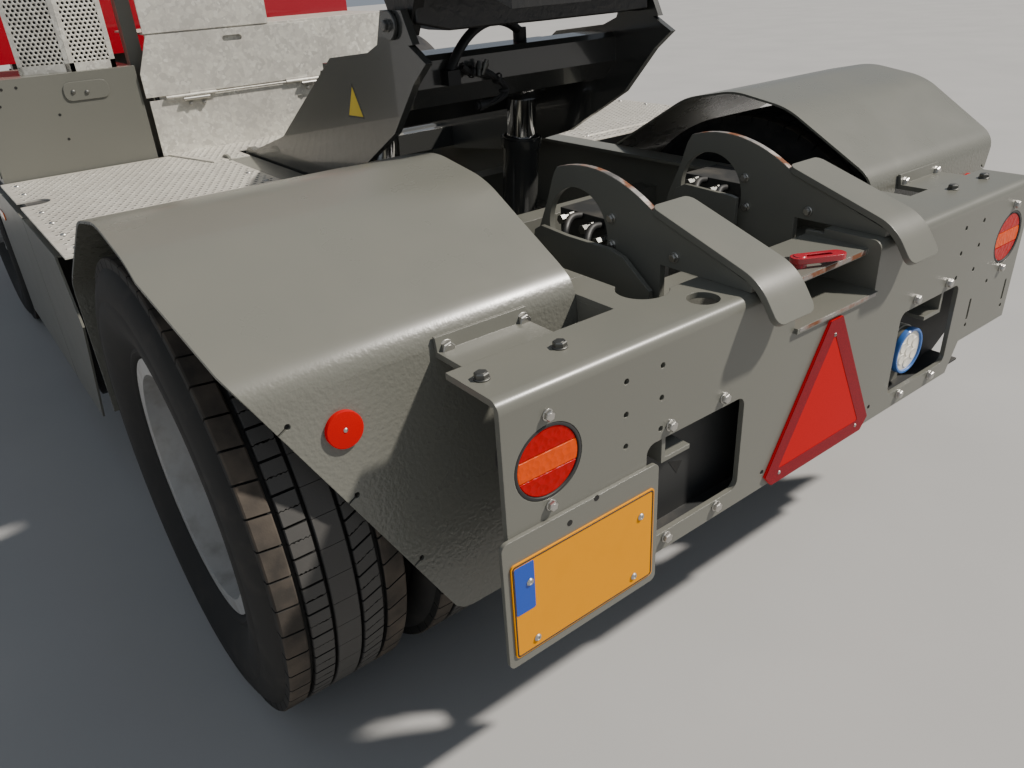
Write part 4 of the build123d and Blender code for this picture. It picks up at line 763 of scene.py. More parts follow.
def guide_ramp(bars, webs, edges, shift):
    """A bar and its web, moved to the right by a shift."""
    y = ramp_left - 6 - shift
    bent_sheet(bars, bar_path[::-1], bar_sheet, lambda point: bar_width(point, shift))
    across = to_right * web_sheet * mm
    holed_plate(webs, arc + foot, web_hole, web_hole_radius, lambda p: place(p.x, y, p.y), across)
    for low, high in zip(arc, arc[1:]):
        corners = ((low, 1), (high, 1), (high, web_sheet - 1), (low, web_sheet - 1))
        prism(edges, [place(p.x, y - a, p.y) for p, a in corners], upward * 0.5 * mm)


ramp_bars, ramp_webs, web_edges = bmesh.new(), bmesh.new(), bmesh.new()
for shift in (0, ramp_shift):
    guide_ramp(ramp_bars, ramp_webs, web_edges, shift)
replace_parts(piece("ramp_bars", ramp_bars, paint, bevel=1.5), "ramps")
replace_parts(piece("ramp_webs", ramp_webs, paint, bevel=0.8), "ramps")
piece("ramp_web_edges", web_edges, worn_steel)

# Frame plates beside the webs, and the valve blocks with their fittings between them

side_plates = bmesh.new()
for plate_y, outline in (
    (312, ((250, -112), (250, -55), (330, 2), (372, 12), (516, 12), (607, 18), (632, 4), (640, -30), (640, -112))),
    (-154, ((400, -112), (400, 24), (421, 28), (570, 33), (600, 18), (610, -20), (610, -112))),
):
    prism(side_plates, [place(s, plate_y, h) for s, h in outline], to_right * 12 * mm)
piece("frame_side_plates", side_plates, paint, bevel=1)
valve_block, fittings, pipes = bmesh.new(), bmesh.new(), bmesh.new()
port_profile = ((-1, 13), (16, 13), (16, 9.5), (30, 9.5), (30, 12), (44, 12), (44, 7))
pipe_run = ((0, -5, 0), (-8, 40, 4), (-30, 78, -20), (-34, 84, -90))
for low_y, high_y in ((40, 180), (-430, -290)):
    cuboid(valve_block, (440, 690), (low_y, high_y), (-230, 20))
    for station, height in ((560, -4), (512, -26), (640, 6)):
        turned(fittings, place(station, high_y, height), to_left, port_profile, 6)
    for station, height in ((612, 12), (536, 2)):
        tube(pipes, flowing([place(station + a, high_y + b, height + c) for a, b, c in pipe_run]), 9, 12)
piece("valve_blocks", valve_block, near_black_and_shade, slot="dark_plastic", bevel=2)
piece("valve_fittings", fittings, bolt_dark)
piece("valve_hoses", pipes, hose_look)

# Coupling pin under its slotted lever

lever_along = Vector((cos(radians(62)), sin(radians(62)), 0))
lever_aside = Vector((-lever_along.y, lever_along.x, 0))


def slot_outline(length, width, steps=10):
    """A round-ended slot along the lever about its middle."""
    outline = []
    for hand in (1, -1):
        for step in range(steps + 1):
            angle = -pi / 2 + pi * step / steps
            along = (length - width) / 2 + width / 2 * cos(angle)
            aside = width / 2 * sin(angle)
            outline.append(place(50, 15, -12) + (lever_along * along + lever_aside * aside) * hand * mm)
    return outline


lever = bmesh.new()
band(lever, slot_outline(124, 36), slot_outline(62, 13), upward * 13 * mm)
turned(lever, place(70, 50, 0), upward, ((-117, 13), (-112, 16), (-2, 16), (3, 13)), 28)
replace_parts(piece("coupling_lever", lever, red_paint, bevel=1.5), "coupling_pin")

# Mudguards: bent sheets with round folds, their rear panels cut on the slant with keyhole slits

fold_station, fold_height, panel_foot = 251, 27, -552
slant_top, slant_foot = Vector((1196, 27)), Vector((905, -520))
guard_inner, guard_outer, guard_sheet = 520.5, 1245, 6
guard_tilt = radians(6)
guard_up = Vector((sin(guard_tilt), 0, cos(guard_tilt)))
guard_out = Vector((-cos(guard_tilt), 0, sin(guard_tilt)))
guard_rear_line = ((fold_station - 8, fold_height - 76), (fold_station, fold_height), (530, 182), (717, 213))
guard_path = eased((*guard_rear_line, (900, 180), (1260, -27), (1320, -70), (1320, -430)), 46, 7)
slant_along = (slant_top - slant_foot).normalized()
slant_inward = Vector((-slant_along.y, slant_along.x))
slit_length, slit_half, slit_end_radius = 15, 2, 5.5


def slanted(height):
    """The y of the rear panel's slanted edge at a height."""
    share = (height - slant_foot.y) / (slant_top.y - slant_foot.y)
    return slant_foot.x + share * (slant_top.x - slant_foot.x)


def guard_edge(point):
    """The mudguard's outer y at a point of its section: narrowed towards the rear fold."""
    if point.x > 600:
        return guard_outer
    narrowed = guard_outer - 49 * (max(0, 380 - point.x) / 129) ** 1.8
    return min(slanted(point.y), narrowed)


def keyhole(height):
    """Outline points of a slit with a round end, from below to above, across the slanted edge at a height."""
    mouth = Vector((slanted(height), height))
    neck = asin(slit_half / slit_end_radius)
    hub = mouth + slant_inward * (slit_length + slit_end_radius * cos(neck))
    angles = [pi + neck + (2 * pi - 2 * neck) * k / 10 for k in range(11)]
    round_end = [hub + (slant_inward * cos(a) + slant_along * sin(a)) * slit_end_radius for a in angles]
    return [mouth - slant_along * slit_half, *round_end, mouth + slant_along * slit_half]


def mudguard(mesh, hand):
    """The bent sheet and its leaning rear panel."""
    bent_sheet(mesh, guard_path[1:], guard_sheet, lambda p: sorted((hand * guard_inner, hand * guard_edge(p))))
    panel_top = guard_path[1].y
    panel = [(guard_inner, panel_top), (guard_inner, panel_foot), (860, panel_foot), (880, -548), (896, -536)]
    panel.append(slant_foot)
    for height in (-403, -223, -59):
        panel += keyhole(height)
    panel.append((slanted(panel_top), panel_top))
    outline = []
    for y, height in panel:
        rise = (height - fold_height) / cos(guard_tilt)
        outline.append(place(fold_station, hand * y, fold_height) + guard_up * rise * mm)
    prism(mesh, outline, guard_out * -guard_sheet * mm)


for side, hand in hands:
    guard = bmesh.new()
    mudguard(guard, hand)
    guard_piece = piece(f"mudguard_sheet_{side}", guard, guard_paint, slot="chassis_paint")
    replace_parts(guard_piece, f"mudguard_{side}")

# Plates behind the beam's windows, near-black as painted shade, a plate inside the boom, dark with the boom paint's
# painted shade, and the fifth wheel's rib

wall_low = -472
left_wall, left_wall_y = 60, (205, 575)
right_wall, right_wall_y = 84, (-685, -285)
right_wall_outline = ((-285, wall_low), (-685, wall_low), (-800, -400), (-800, -262), (-285, -262))
window_plates = bmesh.new()
cuboid(window_plates, (left_wall, left_wall + 6), left_wall_y, (wall_low, -255))
prism(window_plates, [place(right_wall, y, h) for y, h in right_wall_outline], to_front * 6 * mm)
for wall, y_range in ((left_wall, left_wall_y), (right_wall, right_wall_y)):
    cuboid(window_plates, (12, wall), y_range, (wall_low - 2, wall_low + 4))
# The window plates are chassis parts drawn near-black, as painted shade.
piece("window_plates", window_plates, near_black_and_shade, slot="chassis_paint")
# The plate's triangular hole, drawn as a patch of painted shade.
gap = bmesh.new()
prism(gap, [place(59.4, y, h) for y, h in ((445, -334), (403, -348), (419, -373))], to_front * 0.8 * mm)
piece("window_plate_gap", gap, painted_hole_shade)
boom_plate = bmesh.new()
boom_plate_section = ((1492, 330), (1504, 330), (1640, 104), (1628, 104))
prism(boom_plate, [place(s, -409, h) for s, h in boom_plate_section], to_left * 818 * mm)
piece("boom_inner_plate", boom_plate, boom_paint, "lift_boom")
rib = bmesh.new()
rib_outline = ((-395, 440), (-300, 438), (0, 438), (300, 440), (395, 462), (395, 545), (-395, 545))
prism(rib, [place(948, y, h) for y, h in rib_outline], to_front * 110 * mm)
piece("fifth_wheel_rib", rib, greased, "fifth_wheel_top", "boom_paint", bevel=6)

# Screws of the plate and the triangle, and small holes in sheet parts drawn as discs of painted shade

screws = bmesh.new()
for y, height in ((596, -354), (612, -490), (863, -355), (853, -491)):
    turned(screws, place(-11, y, height), to_rear, ((0, 7.5), (1.2, 7.5), (3.4, 5.5), (3.8, 3.0), (2.6, 2.6)), 16)
for _, hand in hands:
    for y, height in ((150, -462), (0, -172)):
        rivet(screws, place(-6, hand * y, height), to_rear, 5)
piece("plate_screws", screws, bolt_zinc)
holes = bmesh.new()
for y, height in ((705, -259), (768, -281)):
    disc(holes, place(-7.9, y, height), to_rear, 6, 0.5, 14)
for y in (600, -600):
    disc(holes, place(1085, y, 0.1), upward, 8, 0.4, 14)
piece("small_holes", holes, painted_hole_shade)

# Rear lamps: three bands each in a black ring on a housing

lamp_face = extent("rear_lamps")[0][0]
lens_radius = 64


def lens_band(mesh, middle, low, high):
    """The part of a round lens between two heights over its middle, seen from the rear."""
    steps = 9
    start, end = asin(low / lens_radius), asin(high / lens_radius)
    right = [start + (end - start) * k / steps for k in range(steps + 1)]
    angles = right + [pi - angle for angle in reversed(right)]
    outline = [middle + (to_left * cos(a) + upward * sin(a)) * lens_radius * mm for a in angles]
    prism(mesh, outline, to_rear * 4 * mm)


red_bands, amber_bands, lamp_rings, lamp_housings = bmesh.new(), bmesh.new(), bmesh.new(), bmesh.new()
lamp_ring_profile = ((-1, 71), (5.4, 71), (6.0, 70), (6.0, 66), (5.0, 65), (-1, 65))
for _, hand in hands:
    middle = place(lamp_face, hand * rear_lamp_y, rear_lamp_height)
    lens_band(red_bands, middle, 21, 63.5)
    lens_band(red_bands, middle, -63.5, -21)
    lens_band(amber_bands, middle, -19.5, 19.5)
    turned(lamp_rings, middle, to_rear, lamp_ring_profile, 48, hollow=True)
    turned(lamp_housings, middle, to_rear, ((0, 0), (0, 69), (-58, 62), (-58, 0)), 48)
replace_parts(piece("lamp_housings", lamp_housings, black), "rear_lamps")
piece("lamp_red_bands", red_bands, red_lens, bevel=1.4)
piece("lamp_amber_bands", amber_bands, amber_lens, slot="lamp_red", bevel=1.4)
piece("lamp_rings", lamp_rings, black)

# Round reflectors on the mudguards' leaning rear panels, glowing red with painted light

reflectors, reflector_rivets = bmesh.new(), bmesh.new()
for _, hand in hands:
    middle = place(fold_station, hand * 1043, fold_height) + guard_up * -115 * mm
    turned(reflectors, middle, guard_out, ((0, 33.5), (7, 33.5), (8.5, 32.5), (9, 30), (9, 0)), 44)
    rivet(reflector_rivets, middle + guard_out * 8.6 * mm, guard_out, 4.5)
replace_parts(piece("round_reflectors", reflectors, sign_red), "rear_lamps")
piece("reflector_rivets", reflector_rivets, bolt_zinc)

# Border of the triangle, the plate's rim and strip

triangle = ((-200, -455), (-175, -485), (175, -485), (200, -455), (22, -134), (-22, -134))
inner_triangle = ((-154, -445), (-150, -449), (150, -449), (154, -445), (3, -175), (-3, -175))
border = bmesh.new()
band(border, *[[place(-6, y, h) for y, h in loop] for loop in (triangle, inner_triangle)], to_rear * 0.8 * mm)
piece("triangle_border", border, border_red, slot="reflector_red")

(plate_face, _), plate_y, plate_heights = extent("licence_plate")
plate_size = plate_y[1] - plate_y[0], plate_heights[1] - plate_heights[0]


def on_plate(margin, radius):
    """A round-cornered outline on the plate's face, by how much smaller than the plate it is."""
    outline = rounded(plate_size[0] - margin, plate_size[1] - margin, radius)
    return [place(plate_face, sum(plate_y) / 2 + a, sum(plate_heights) / 2 + b) for a, b in outline]


plate_rim = bmesh.new()
band(plate_rim, on_plate(5, 7), on_plate(10, 5), to_rear * 0.7 * mm)
piece("plate_rim", plate_rim, label_black)
strip = bmesh.new()
badge(strip, place(plate_face, plate_y[1] - 27, plate_heights[1] - 60), (42, 105), 4, to_rear, 0.5)
piece("plate_strip", strip, blue_strip)

# Work lamp: blue ring, lens with light cups, fins behind

(lamp_station, _), lamp_y_range, (_, lamp_top) = extent("work_lamp")
edge = (lamp_y_range[1] - lamp_y_range[0]) / 2
lamp_at = place(lamp_station, sum(lamp_y_range) / 2, lamp_top - edge)
ring = bmesh.new()
ring_profile = ((-6, edge + 1), (5, edge + 1), (8, edge - 1), (8, edge - 6), (4, edge - 8), (-6, edge - 8))
turned(ring, lamp_at, to_rear, ring_profile, 56, hollow=True)
piece("work_lamp_ring", ring, blue_ring)
cups = bmesh.new()
turned(cups, lamp_at, to_rear, ((-1, edge - 7.5), (3, edge - 7.5), (3.6, edge - 12), (3.6, 0)), 40)
for offset in (*around(6, edge * 0.52, 0), Vector()):
    offset = Vector((0, offset.x, offset.z))
    turned(cups, lamp_at + offset, to_rear, ((3, 15), (5.4, 14), (4.4, 10), (3.8, 0)), 20)
piece("work_lamp_cups", cups, lamp_cream)
fins = bmesh.new()
for k in range(5):
    hoop(fins, lamp_at + to_front * (18 + 9 * k) * mm, to_front, (0, 3), edge + 2.5, edge - 6, 40)
piece("work_lamp_fins", fins, zinc)

# Side markers on the skirts

markers = bmesh.new()
for _, hand in hands:
    badge(markers, place(2692, hand * 1244.6, -150), (110, 30), 12, to_left * hand, 5)
piece("side_markers", markers, marker_orange, bevel=1.5)

# Boom: blank triangular labels, cables over the cross beam and the pins' end plates

labels, label_edges = bmesh.new(), bmesh.new()
cheek_y = 430
label = ((1269, 313), (1217, 222), (1318, 219))
label_middle = [sum(v) / 3 for v in zip(*label)]
small_label = [[m + (v - m) * 0.84 for v, m in zip(corner, label_middle)] for corner in label]
for _, hand in hands:
    prism(label_edges, [place(s, hand * cheek_y, h) for s, h in label], to_left * hand * 0.4 * mm)
    prism(labels, [place(s, hand * (cheek_y + 0.4), h) for s, h in small_label], to_left * hand * 0.3 * mm)
piece("boom_label_edges", label_edges, label_black, "lift_boom")
piece("boom_labels", labels, label_yellow, "lift_boom")

bundle_station = 1070
bundle = ((195, 338), (165, 322), (113, 316), (75, 295), (53, 271), (58, 252), (93, 235), (127, 232))
cables = bmesh.new()
for number in range(7):
    path = []
    for k, (y, height) in enumerate(bundle):
        swirl = number * 2 * pi / 7 + k * 0.8
        spread = 6 + 4 * sin(1.7 * k + number)
        aside, up = spread * cos(swirl), spread * sin(swirl)
        path.append(place(bundle_station + 0.6 * aside, y + 0.5 * aside, height + up))
    tube(cables, flowing(path), 3.4 if number % 2 else 4.4, 8)
piece("boom_cables", cables, hose_look, "lift_boom")
connectors = bmesh.new()
for y, height, lean in ((142, 334, 0.3), (120, 336, -0.2)):
    profile = ((-26, 6), (-8, 6), (-8, 9.5), (6, 9.5), (6, 6), (14, 6))
    turned(connectors, place(bundle_station - 6, y, height), Vector((lean, -0.35, 1)), profile, 12)
piece("cable_connectors", connectors, bolt_dark, "lift_boom")
ties = bmesh.new()
for y, height, across in ((163, 322, (0, 1, 0.2)), (77, 296, (0, 0.8, 0.6)), (56, 262, (0, 0.1, 1))):
    across = Vector(across).normalized()
    hoop(ties, place(bundle_station, y, height) - across * 3 * mm, across, (0, 6), 16, 14, 20)
plug_profile = ((0, 11), (14, 11), (14, 14), (28, 14), (28, 10), (36, 10))
turned(ties, place(bundle_station, 120, 232), to_left, plug_profile, 18)
piece("cable_ties", ties, black, "lift_boom")

pivot_station, pivot_height = 2187, -45
pivot_covers = bmesh.new()
for _, hand in hands:
    cover_profile = ((-0.5, 62), (9, 62), (11, 60), (11, 0))
    turned(pivot_covers, place(pivot_station, hand * 520, pivot_height), to_left * hand, cover_profile, 36)
    for k in range(4):
        angle = pi / 4 + k * pi / 2
        at = place(pivot_station + 46 * cos(angle), hand * 531, pivot_height + 46 * sin(angle))
        bolt(pivot_covers, at, to_left * hand, 16, washer=False)
piece("pivot_covers", pivot_covers, paint, bevel=1)
fifth_pin_station, fifth_pin_height = 1010, 462
fifth_pins = bmesh.new()
for _, hand in hands:
    cap_profile = ((3, 34), (10, 34), (12, 32), (12, 0))
    turned(fifth_pins, place(fifth_pin_station, hand * 430, fifth_pin_height), to_left * hand, cap_profile, 32)
    bolt(fifth_pins, place(fifth_pin_station, hand * 441.8, fifth_pin_height), to_left * hand, 24)
piece("fifth_wheel_pin_caps", fifth_pins, boom_paint, "fifth_wheel_top")

# Fifth wheel: jaw in the throat and bolts on the plate

jaw = bmesh.new()
hoop(jaw, place(925, 0, 531), upward, (0, 20), 62, 32, 40)
piece("fifth_wheel_jaw", jaw, worn_steel, "fifth_wheel_top")
plate_bolts = bmesh.new()
for _, hand in hands:
    for station, y in ((800, 400), (1060, 400), (1210, 330)):
        turned(plate_bolts, place(station, hand * y, 566), upward, ((-2, 16), (0.6, 16), (0.2, 9), (-3, 8)), 20)
piece("fifth_wheel_bolts", plate_bolts, bolt_zinc, "fifth_wheel_top")

# Lift cylinders: end glands and hose ports

cylinder_lean = Vector((-68, 0, 645)).normalized()
for side, hand in hands:
    ports = bmesh.new()
    cylinder_foot = place(1479, hand * 275, -420)
    gland_profile = ((-0.5, 66), (6, 66), (8, 63), (8, 51.5), (-0.5, 51.5))
    turned(ports, cylinder_foot + cylinder_lean * 462 * mm, cylinder_lean, gland_profile, 40, hollow=True)
    for along in (95, 420):
        at = cylinder_foot + cylinder_lean * along * mm
        turned(ports, at, to_front, ((60, 17), (84, 17), (84, 12), (96, 12)), 16)
    piece(f"cylinder_ports_{side}", ports, boom_paint, f"barrel_{side}", bevel=1)

# Galvanised deck and floor with staggered punched dots

dot_pitch = 27
notch_station, notch_y, notch_half, notch_depth, notch_margin = 2048, 1240, 42, 92, 14


def dotted(rims, dots, top, area, keep_out):
    """Punched dots over an area of stations and y values, as raised rims round holes drawn as discs of painted
    shade.
    """
    (first, last), (low, high) = area
    for row in range(int((last - first) / dot_pitch) + 1):
        station = first + row * dot_pitch
        start = low + (dot_pitch / 2 if row % 2 else 0)
        for column in range(int((high - start) / dot_pitch) + 1):
            y = start + column * dot_pitch
            if keep_out(station, y):
                continue
            at = place(station, y, top)
            turned(rims, at, upward, ((-0.5, 8.6), (0.9, 6.8), (0.9, 5.8), (-0.5, 5.6)), 10, hollow=True)
            turned(dots, at, upward, ((-0.5, 5.9), (0.3, 5.8)), 10)


def off_deck(station, y):
    """Whether a dot falls in the deck plate's notch or too near it."""
    near = abs(station - notch_station) < notch_half + notch_margin
    return near and abs(y) > notch_y - notch_depth - notch_margin


def off_floor(station, y):
    """Whether a dot falls off the floor's slanted edges."""
    return station < 2300 and (y < 466 or y > 590 - (2300 - station) * 0.1) or y > 655 - (2452 - station) * 0.265


deck_stations, floor_stations = (1350, 2425), (2165, 2436)
for where, name_end, top, area, keep_out in (
    ("deck", "_left", 0, (deck_stations, (540, 1222)), off_deck),
    ("deck", "_right", 0, (deck_stations, (-1222, -540)), off_deck),
    ("floor", "", 5.3, (floor_stations, (120, 650)), off_floor),
):
    rims, dots = bmesh.new(), bmesh.new()
    dotted(rims, dots, top, area, keep_out)
    piece(f"{where}_dot_rims{name_end}", rims, zinc)
    piece(f"{where}_dots{name_end}", dots, painted_hole_shade)

# Hinges of the cover, a bolted plate and holes of painted shade on the cabinet's rear wall, and the deck's seams

hinges = bmesh.new()
for y in (28, 510):
    tube(hinges, [place(2431, y - 50, 196), place(2431, y + 50, 196)], 6.5, 12)
    for aside in (-26, 24):
        bolt(hinges, place(2440, y + aside, 177), to_rear, 13)
piece("cover_hinges", hinges, bolt_zinc)
wall_station = 2452
wall_plate, wall_bolts, wall_holes = bmesh.new(), bmesh.new(), bmesh.new()
badge(wall_plate, place(wall_station, 880, 268), (150, 62), 24, to_rear, 4)
piece("cabinet_wall_plate", wall_plate, paint, bevel=1.2)
for y, height in ((925, 267), (881, 261)):
    rivet(wall_bolts, place(wall_station - 4, y, height), to_rear, 8)
piece("cabinet_wall_bolts", wall_bolts, bolt_dark)
for y, height in ((988, 198), (983, 114), (1095, 301), (1160, 248), (1140, 300)):
    disc(wall_holes, place(wall_station + 0.3, y, height), to_rear, 5, 0.6, 12)
piece("cabinet_wall_holes", wall_holes, painted_hole_shade)
seams = bmesh.new()
for y_range in ((-1222, -545), (545, 1222)):
    cuboid(seams, (1397, 1404), y_range, (-1, 3.2))
piece("deck_seams", seams, zinc, bevel=1)

# Perforated guard behind the exhaust, with solid edges and a sheet of painted shade behind its holes

guard_low, guard_high = 330, 1130
guard_plan = ((2540, 1060), (2480, 905), (2480, 755), (2600, 755))
shade_sheet_plan = ((2556, 1054), (2494, 902), (2494, 768), (2598, 768))
guard_mesh, guard_edges, shade_sheet = bmesh.new(), bmesh.new(), bmesh.new()
for start, end in zip(guard_plan, guard_plan[1:]):
    corner, along = place(*start, 0), place(*end, 0) - place(*start, 0)
    across = upward * (guard_high - guard_low - 12) * mm
    perforated(guard_mesh, place(*start, guard_low + 6), along, across, 15.5, 5.4)
    run, length = along.normalized(), along.length
    out = run.cross(upward) * 1.6 * mm
    for first, last, low, high in (
        (0, length, guard_low, guard_low + 28),
        (0, length, guard_high - 22, guard_high),
        (0, 0.015, guard_low, guard_high),
        (length - 0.015, length, guard_low, guard_high),
    ):
        outline = [corner + run * first - out, corner + run * last - out]
        outline += [corner + run * last + out, corner + run * first + out]
        prism(guard_edges, [point + upward * low * mm for point in outline], upward * (high - low) * mm)
for (s0, y0), (s1, y1) in zip(shade_sheet_plan, shade_sheet_plan[1:]):
    outline = [place(s, y, guard_low) for s, y in ((s0, y0), (s1, y1), (s1 + 1, y1 + 1), (s0 + 1, y0 + 1))]
    prism(shade_sheet, outline, upward * (guard_high - guard_low - 4) * mm)
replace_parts(piece("exhaust_guard_sheet", guard_mesh, zinc, sheet=2.5), "exhaust_guard")
piece("exhaust_guard_edges", guard_edges, zinc)
piece("exhaust_guard_painted_shade", shade_sheet, near_black_and_shade)

# Exhaust clamps, its mouth as a disc of painted shade that also stands for soot inside the pipe, and the cabinet's
# door and latches

exhaust = (2640, 900)
clamps, mouth = bmesh.new(), bmesh.new()
for height in (420, 800, 1150):
    hoop(clamps, place(*exhaust, height), upward, (0, 28), 79, 75, 40)
    bolt(clamps, place(exhaust[0], exhaust[1] + 79, height + 14), to_left, 17)
piece("exhaust_clamps", clamps, bolt_zinc)
turned(mouth, place(*exhaust, 1815), upward, ((-4, 46), (0.3, 46)), 32)
piece("exhaust_mouth", mouth, painted_hole_shade)
(cabinet_rear, cabinet_front), (_, cabinet_out), (cabinet_low, cabinet_top) = extent("side_cabinet")
cabinet_door, latches = bmesh.new(), bmesh.new()
door_middle = place((cabinet_rear + cabinet_front) / 2, cabinet_out, (cabinet_low + cabinet_top) / 2)
door_size = (cabinet_front - cabinet_rear - 36, cabinet_top - cabinet_low - 36)
badge(cabinet_door, door_middle, door_size, 14, to_left, 3)
piece("cabinet_door", cabinet_door, paint, bevel=1)
for station in (cabinet_rear + 90, cabinet_front - 90):
    badge(latches, place(station, cabinet_out + 3, cabinet_top - 70), (26, 74), 8, to_left, 5)
    lock = place(station, cabinet_out + 8, cabinet_top - 88)
    turned(latches, lock, to_left, ((0, 9), (2, 9), (2.4, 8), (2.4, 0)), 20)
piece("cabinet_latches", latches, black, bevel=1)

# Cab: window gaskets, wipers, mirror glass, door seal, roof trim and the beacon's rings

(cab_rear, cab_front), _, _ = extent("cab_body")
cab_floor, cab_top, cab_right, cab_left = 335, 1990, -520, 1150


def screen_station(height):
    """Station of the leaning front wall's outside at a height."""
    return cab_front - 130 * (height - cab_floor) / (cab_top - cab_floor)


def gasket(mesh, to_place, a_range, b_range, outward, width=26, radius=60):
    """A rubber frame round an opening; to_place turns the opening's own two lengths into a point."""
    middle = [sum(v) / 2 for v in (a_range, b_range)]
    sizes = [v[1] - v[0] for v in (a_range, b_range)]
    loops = []
    for grow in (width * 0.35, -width * 0.65):
        flat = rounded(sizes[0] + 2 * grow, sizes[1] + 2 * grow, radius + grow)
        loops.append([to_place(middle[0] + a, middle[1] + b) for a, b in flat])
    band(mesh, *loops, outward * 5 * mm)


gaskets, door_gasket = bmesh.new(), bmesh.new()
window_y, window_top = (-410, 1040), 1850
gasket(gaskets, lambda y, h: place(cab_rear, y, h), window_y, (840, window_top), to_rear)
gasket(gaskets, lambda y, h: place(screen_station(h), y, h), window_y, (790, window_top), to_front)
for rear, low, wall_y, outward in ((140, 840, cab_right, to_right), (990, 690, cab_left, to_left)):
    window_stations = (cab_rear + rear, cab_front - 260)
    gasket(gaskets, lambda s, h: place(s, wall_y, h), window_stations, (low, window_top), outward)
piece("cab_gaskets", gaskets, hose_look, "cab", bevel=1.5)
door_stations = (cab_rear + 200, cab_rear + 800)
gasket(door_gasket, lambda s, h: place(s, cab_left, h), door_stations, (740, 1790), to_left)
piece("door_gasket", door_gasket, hose_look, "door", bevel=1.5)

wipers = bmesh.new()
wiper_low, wiper_high = 740, 1420
for start_y, end_y in ((500, 60), (940, 420)):
    wiper_ends = ((start_y, wiper_low), (end_y, wiper_high))
    arm = [place(screen_station(height) + 22, y, height) for y, height in wiper_ends]
    hub = place(screen_station(wiper_low) - 2, start_y, wiper_low)
    turned(wipers, hub, to_front, ((0, 22), (30, 20), (34, 12)), 20)
    tube(wipers, arm, 7, 8)
    tube(wipers, [arm[1] + Vector((0.02, 0, -0.32)), arm[1] + Vector((-0.03, 0, 0.32))], 8, 8)
piece("wipers", wipers, black, "cab")

mirror_panes = bmesh.new()
mirror_station = extent("mirrors")[0][0]
for low_y, high_y in ((1190, 1350), (-1350, -1130)):
    for low, high in ((1190, 1440), (1082, 1176)):
        middle = place(mirror_station, (low_y + high_y) / 2, (low + high) / 2)
        badge(mirror_panes, middle, (high_y - low_y - 18, high - low), 18, to_rear, 1)
piece("mirror_panes", mirror_panes, mirror_glass, "cab")

roof_seal = bmesh.new()
seal_low, seal_high = 1984, 1996
for wall_y, outward in ((cab_left, to_left), (cab_right, to_right)):
    outline = [place(s, wall_y, seal_low) for s in (cab_rear + 6, cab_front - 140)]
    outline += [place(s, wall_y, seal_high) for s in (cab_front - 140, cab_rear + 6)]
    prism(roof_seal, outline, outward * 3 * mm)
cuboid(roof_seal, (cab_rear - 3, cab_rear), (cab_right, cab_left), (seal_low, seal_high))
piece("roof_seal", roof_seal, hose_look, "cab", bevel=1)

beacon_base = bmesh.new()
beacon_at = place(cab_rear + 380, 315, 2080)
turned(beacon_base, beacon_at, upward, ((0, 78), (24, 78), (30, 75.6), (30, 75.2), (0, 75.2)), 48, hollow=True)
turned(beacon_base, beacon_at, upward, ((60, 75.2), (60, 76.6), (66, 76.6), (66, 75.2)), 48, hollow=True)
piece("beacon_base", beacon_base, black, "cab")

# Cab interior: dashboard screen, switches, levers and pedals

dash, screen, stand = bmesh.new(), bmesh.new(), bmesh.new()
dash_front = cab_front - 120
for y in (120, 180, 240, 460, 520):
    cuboid(dash, (dash_front - 200, dash_front - 170), (y, y + 34), (939, 947))
for y, reach in ((640, 150), (90, 110)):
    tube(dash, [place(dash_front - 260, y - 15, 930), place(dash_front - 300, y, 930 + reach)], 7, 10)
    knob = place(dash_front - 302, y, 930 + reach)
    turned(dash, knob, upward, ((-16, 14), (0, 20), (18, 18), (26, 8)), 20)
for y in (260, 400):
    pedal = ((0, -32), (0, 32), (-95, 36), (-95, -36))
    prism(dash, [place(dash_front - 345 + a, y + b, 400 + a * 0.9) for a, b in pedal], upward * 12 * mm)
piece("dash_controls", dash, black, "cab", bevel=2)
badge(screen, place(dash_front - 180, 300, 1040), (230, 150), 10, to_front, 22)
piece("dash_screen", screen, screen_blue, "cab", bevel=3)
cuboid(stand, (dash_front - 176, dash_front - 162), (285, 315), (935, 980))
piece("screen_stand", stand, black, "cab", bevel=2)

# Driver's seat: cushion, bolsters, back and head cushion on a folded bellows

_, seat_y, (seat_low, _) = extent("driver_seat")
seat_middle = sum(seat_y) / 2
cushion_station = 3862
cushion = bmesh.new()
pillow(cushion, place(cushion_station, seat_middle, seat_low + 275), (500, 330, 118), 4.5, 0.16)
for _, hand in hands:
    pillow(cushion, place(cushion_station, seat_middle + hand * 196, seat_low + 280), (500, 100, 130), 3.2)
cushion_piece = piece("seat_cushion", cushion, cloth, "cab", "seat_cloth", crease=180)
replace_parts(cushion_piece, "driver_seat")

backrest = bmesh.new()
pillow(backrest, place(3572, seat_middle, seat_low + 580), (112, 300, 520), 4.5)
for _, hand in hands:
    pillow(backrest, place(3580, seat_middle + hand * 178, seat_low + 560), (130, 96, 470), 3.2)
pillow(backrest, place(3566, seat_middle, seat_low + 880), (96, 270, 130), 3.4)
pivot, lean_back = place(3580, seat_middle, seat_low + 275), Matrix.Rotation(radians(-5), 3, "Y")
bmesh.ops.rotate(backrest, verts=backrest.verts, cent=pivot, matrix=lean_back)
piece("seat_backrest", backrest, cloth, "cab", "seat_cloth", crease=180)
piping = bmesh.new()
for _, hand in hands:
    crown = ((3625, 318), (3700, 334), (3862, 340), (4020, 334), (4098, 312))
    tube(piping, flowing([place(s, seat_middle + hand * 157, seat_low + h) for s, h in crown]), 4, 8)
piece("seat_piping", piping, piping_red, "cab", crease=180)
bellows = bmesh.new()
for k in range(6):
    low = seat_low + 36 * k
    for inset, start, end in ((0, 0, 20), (16, 20, 36)):
        cuboid(bellows, (3700 + inset, 4010 - inset), (200 + inset, 500 - inset), (low + start, low + end))
cuboid(bellows, (3640, 4080), (160, 540), (seat_low + 212, seat_low + 224))
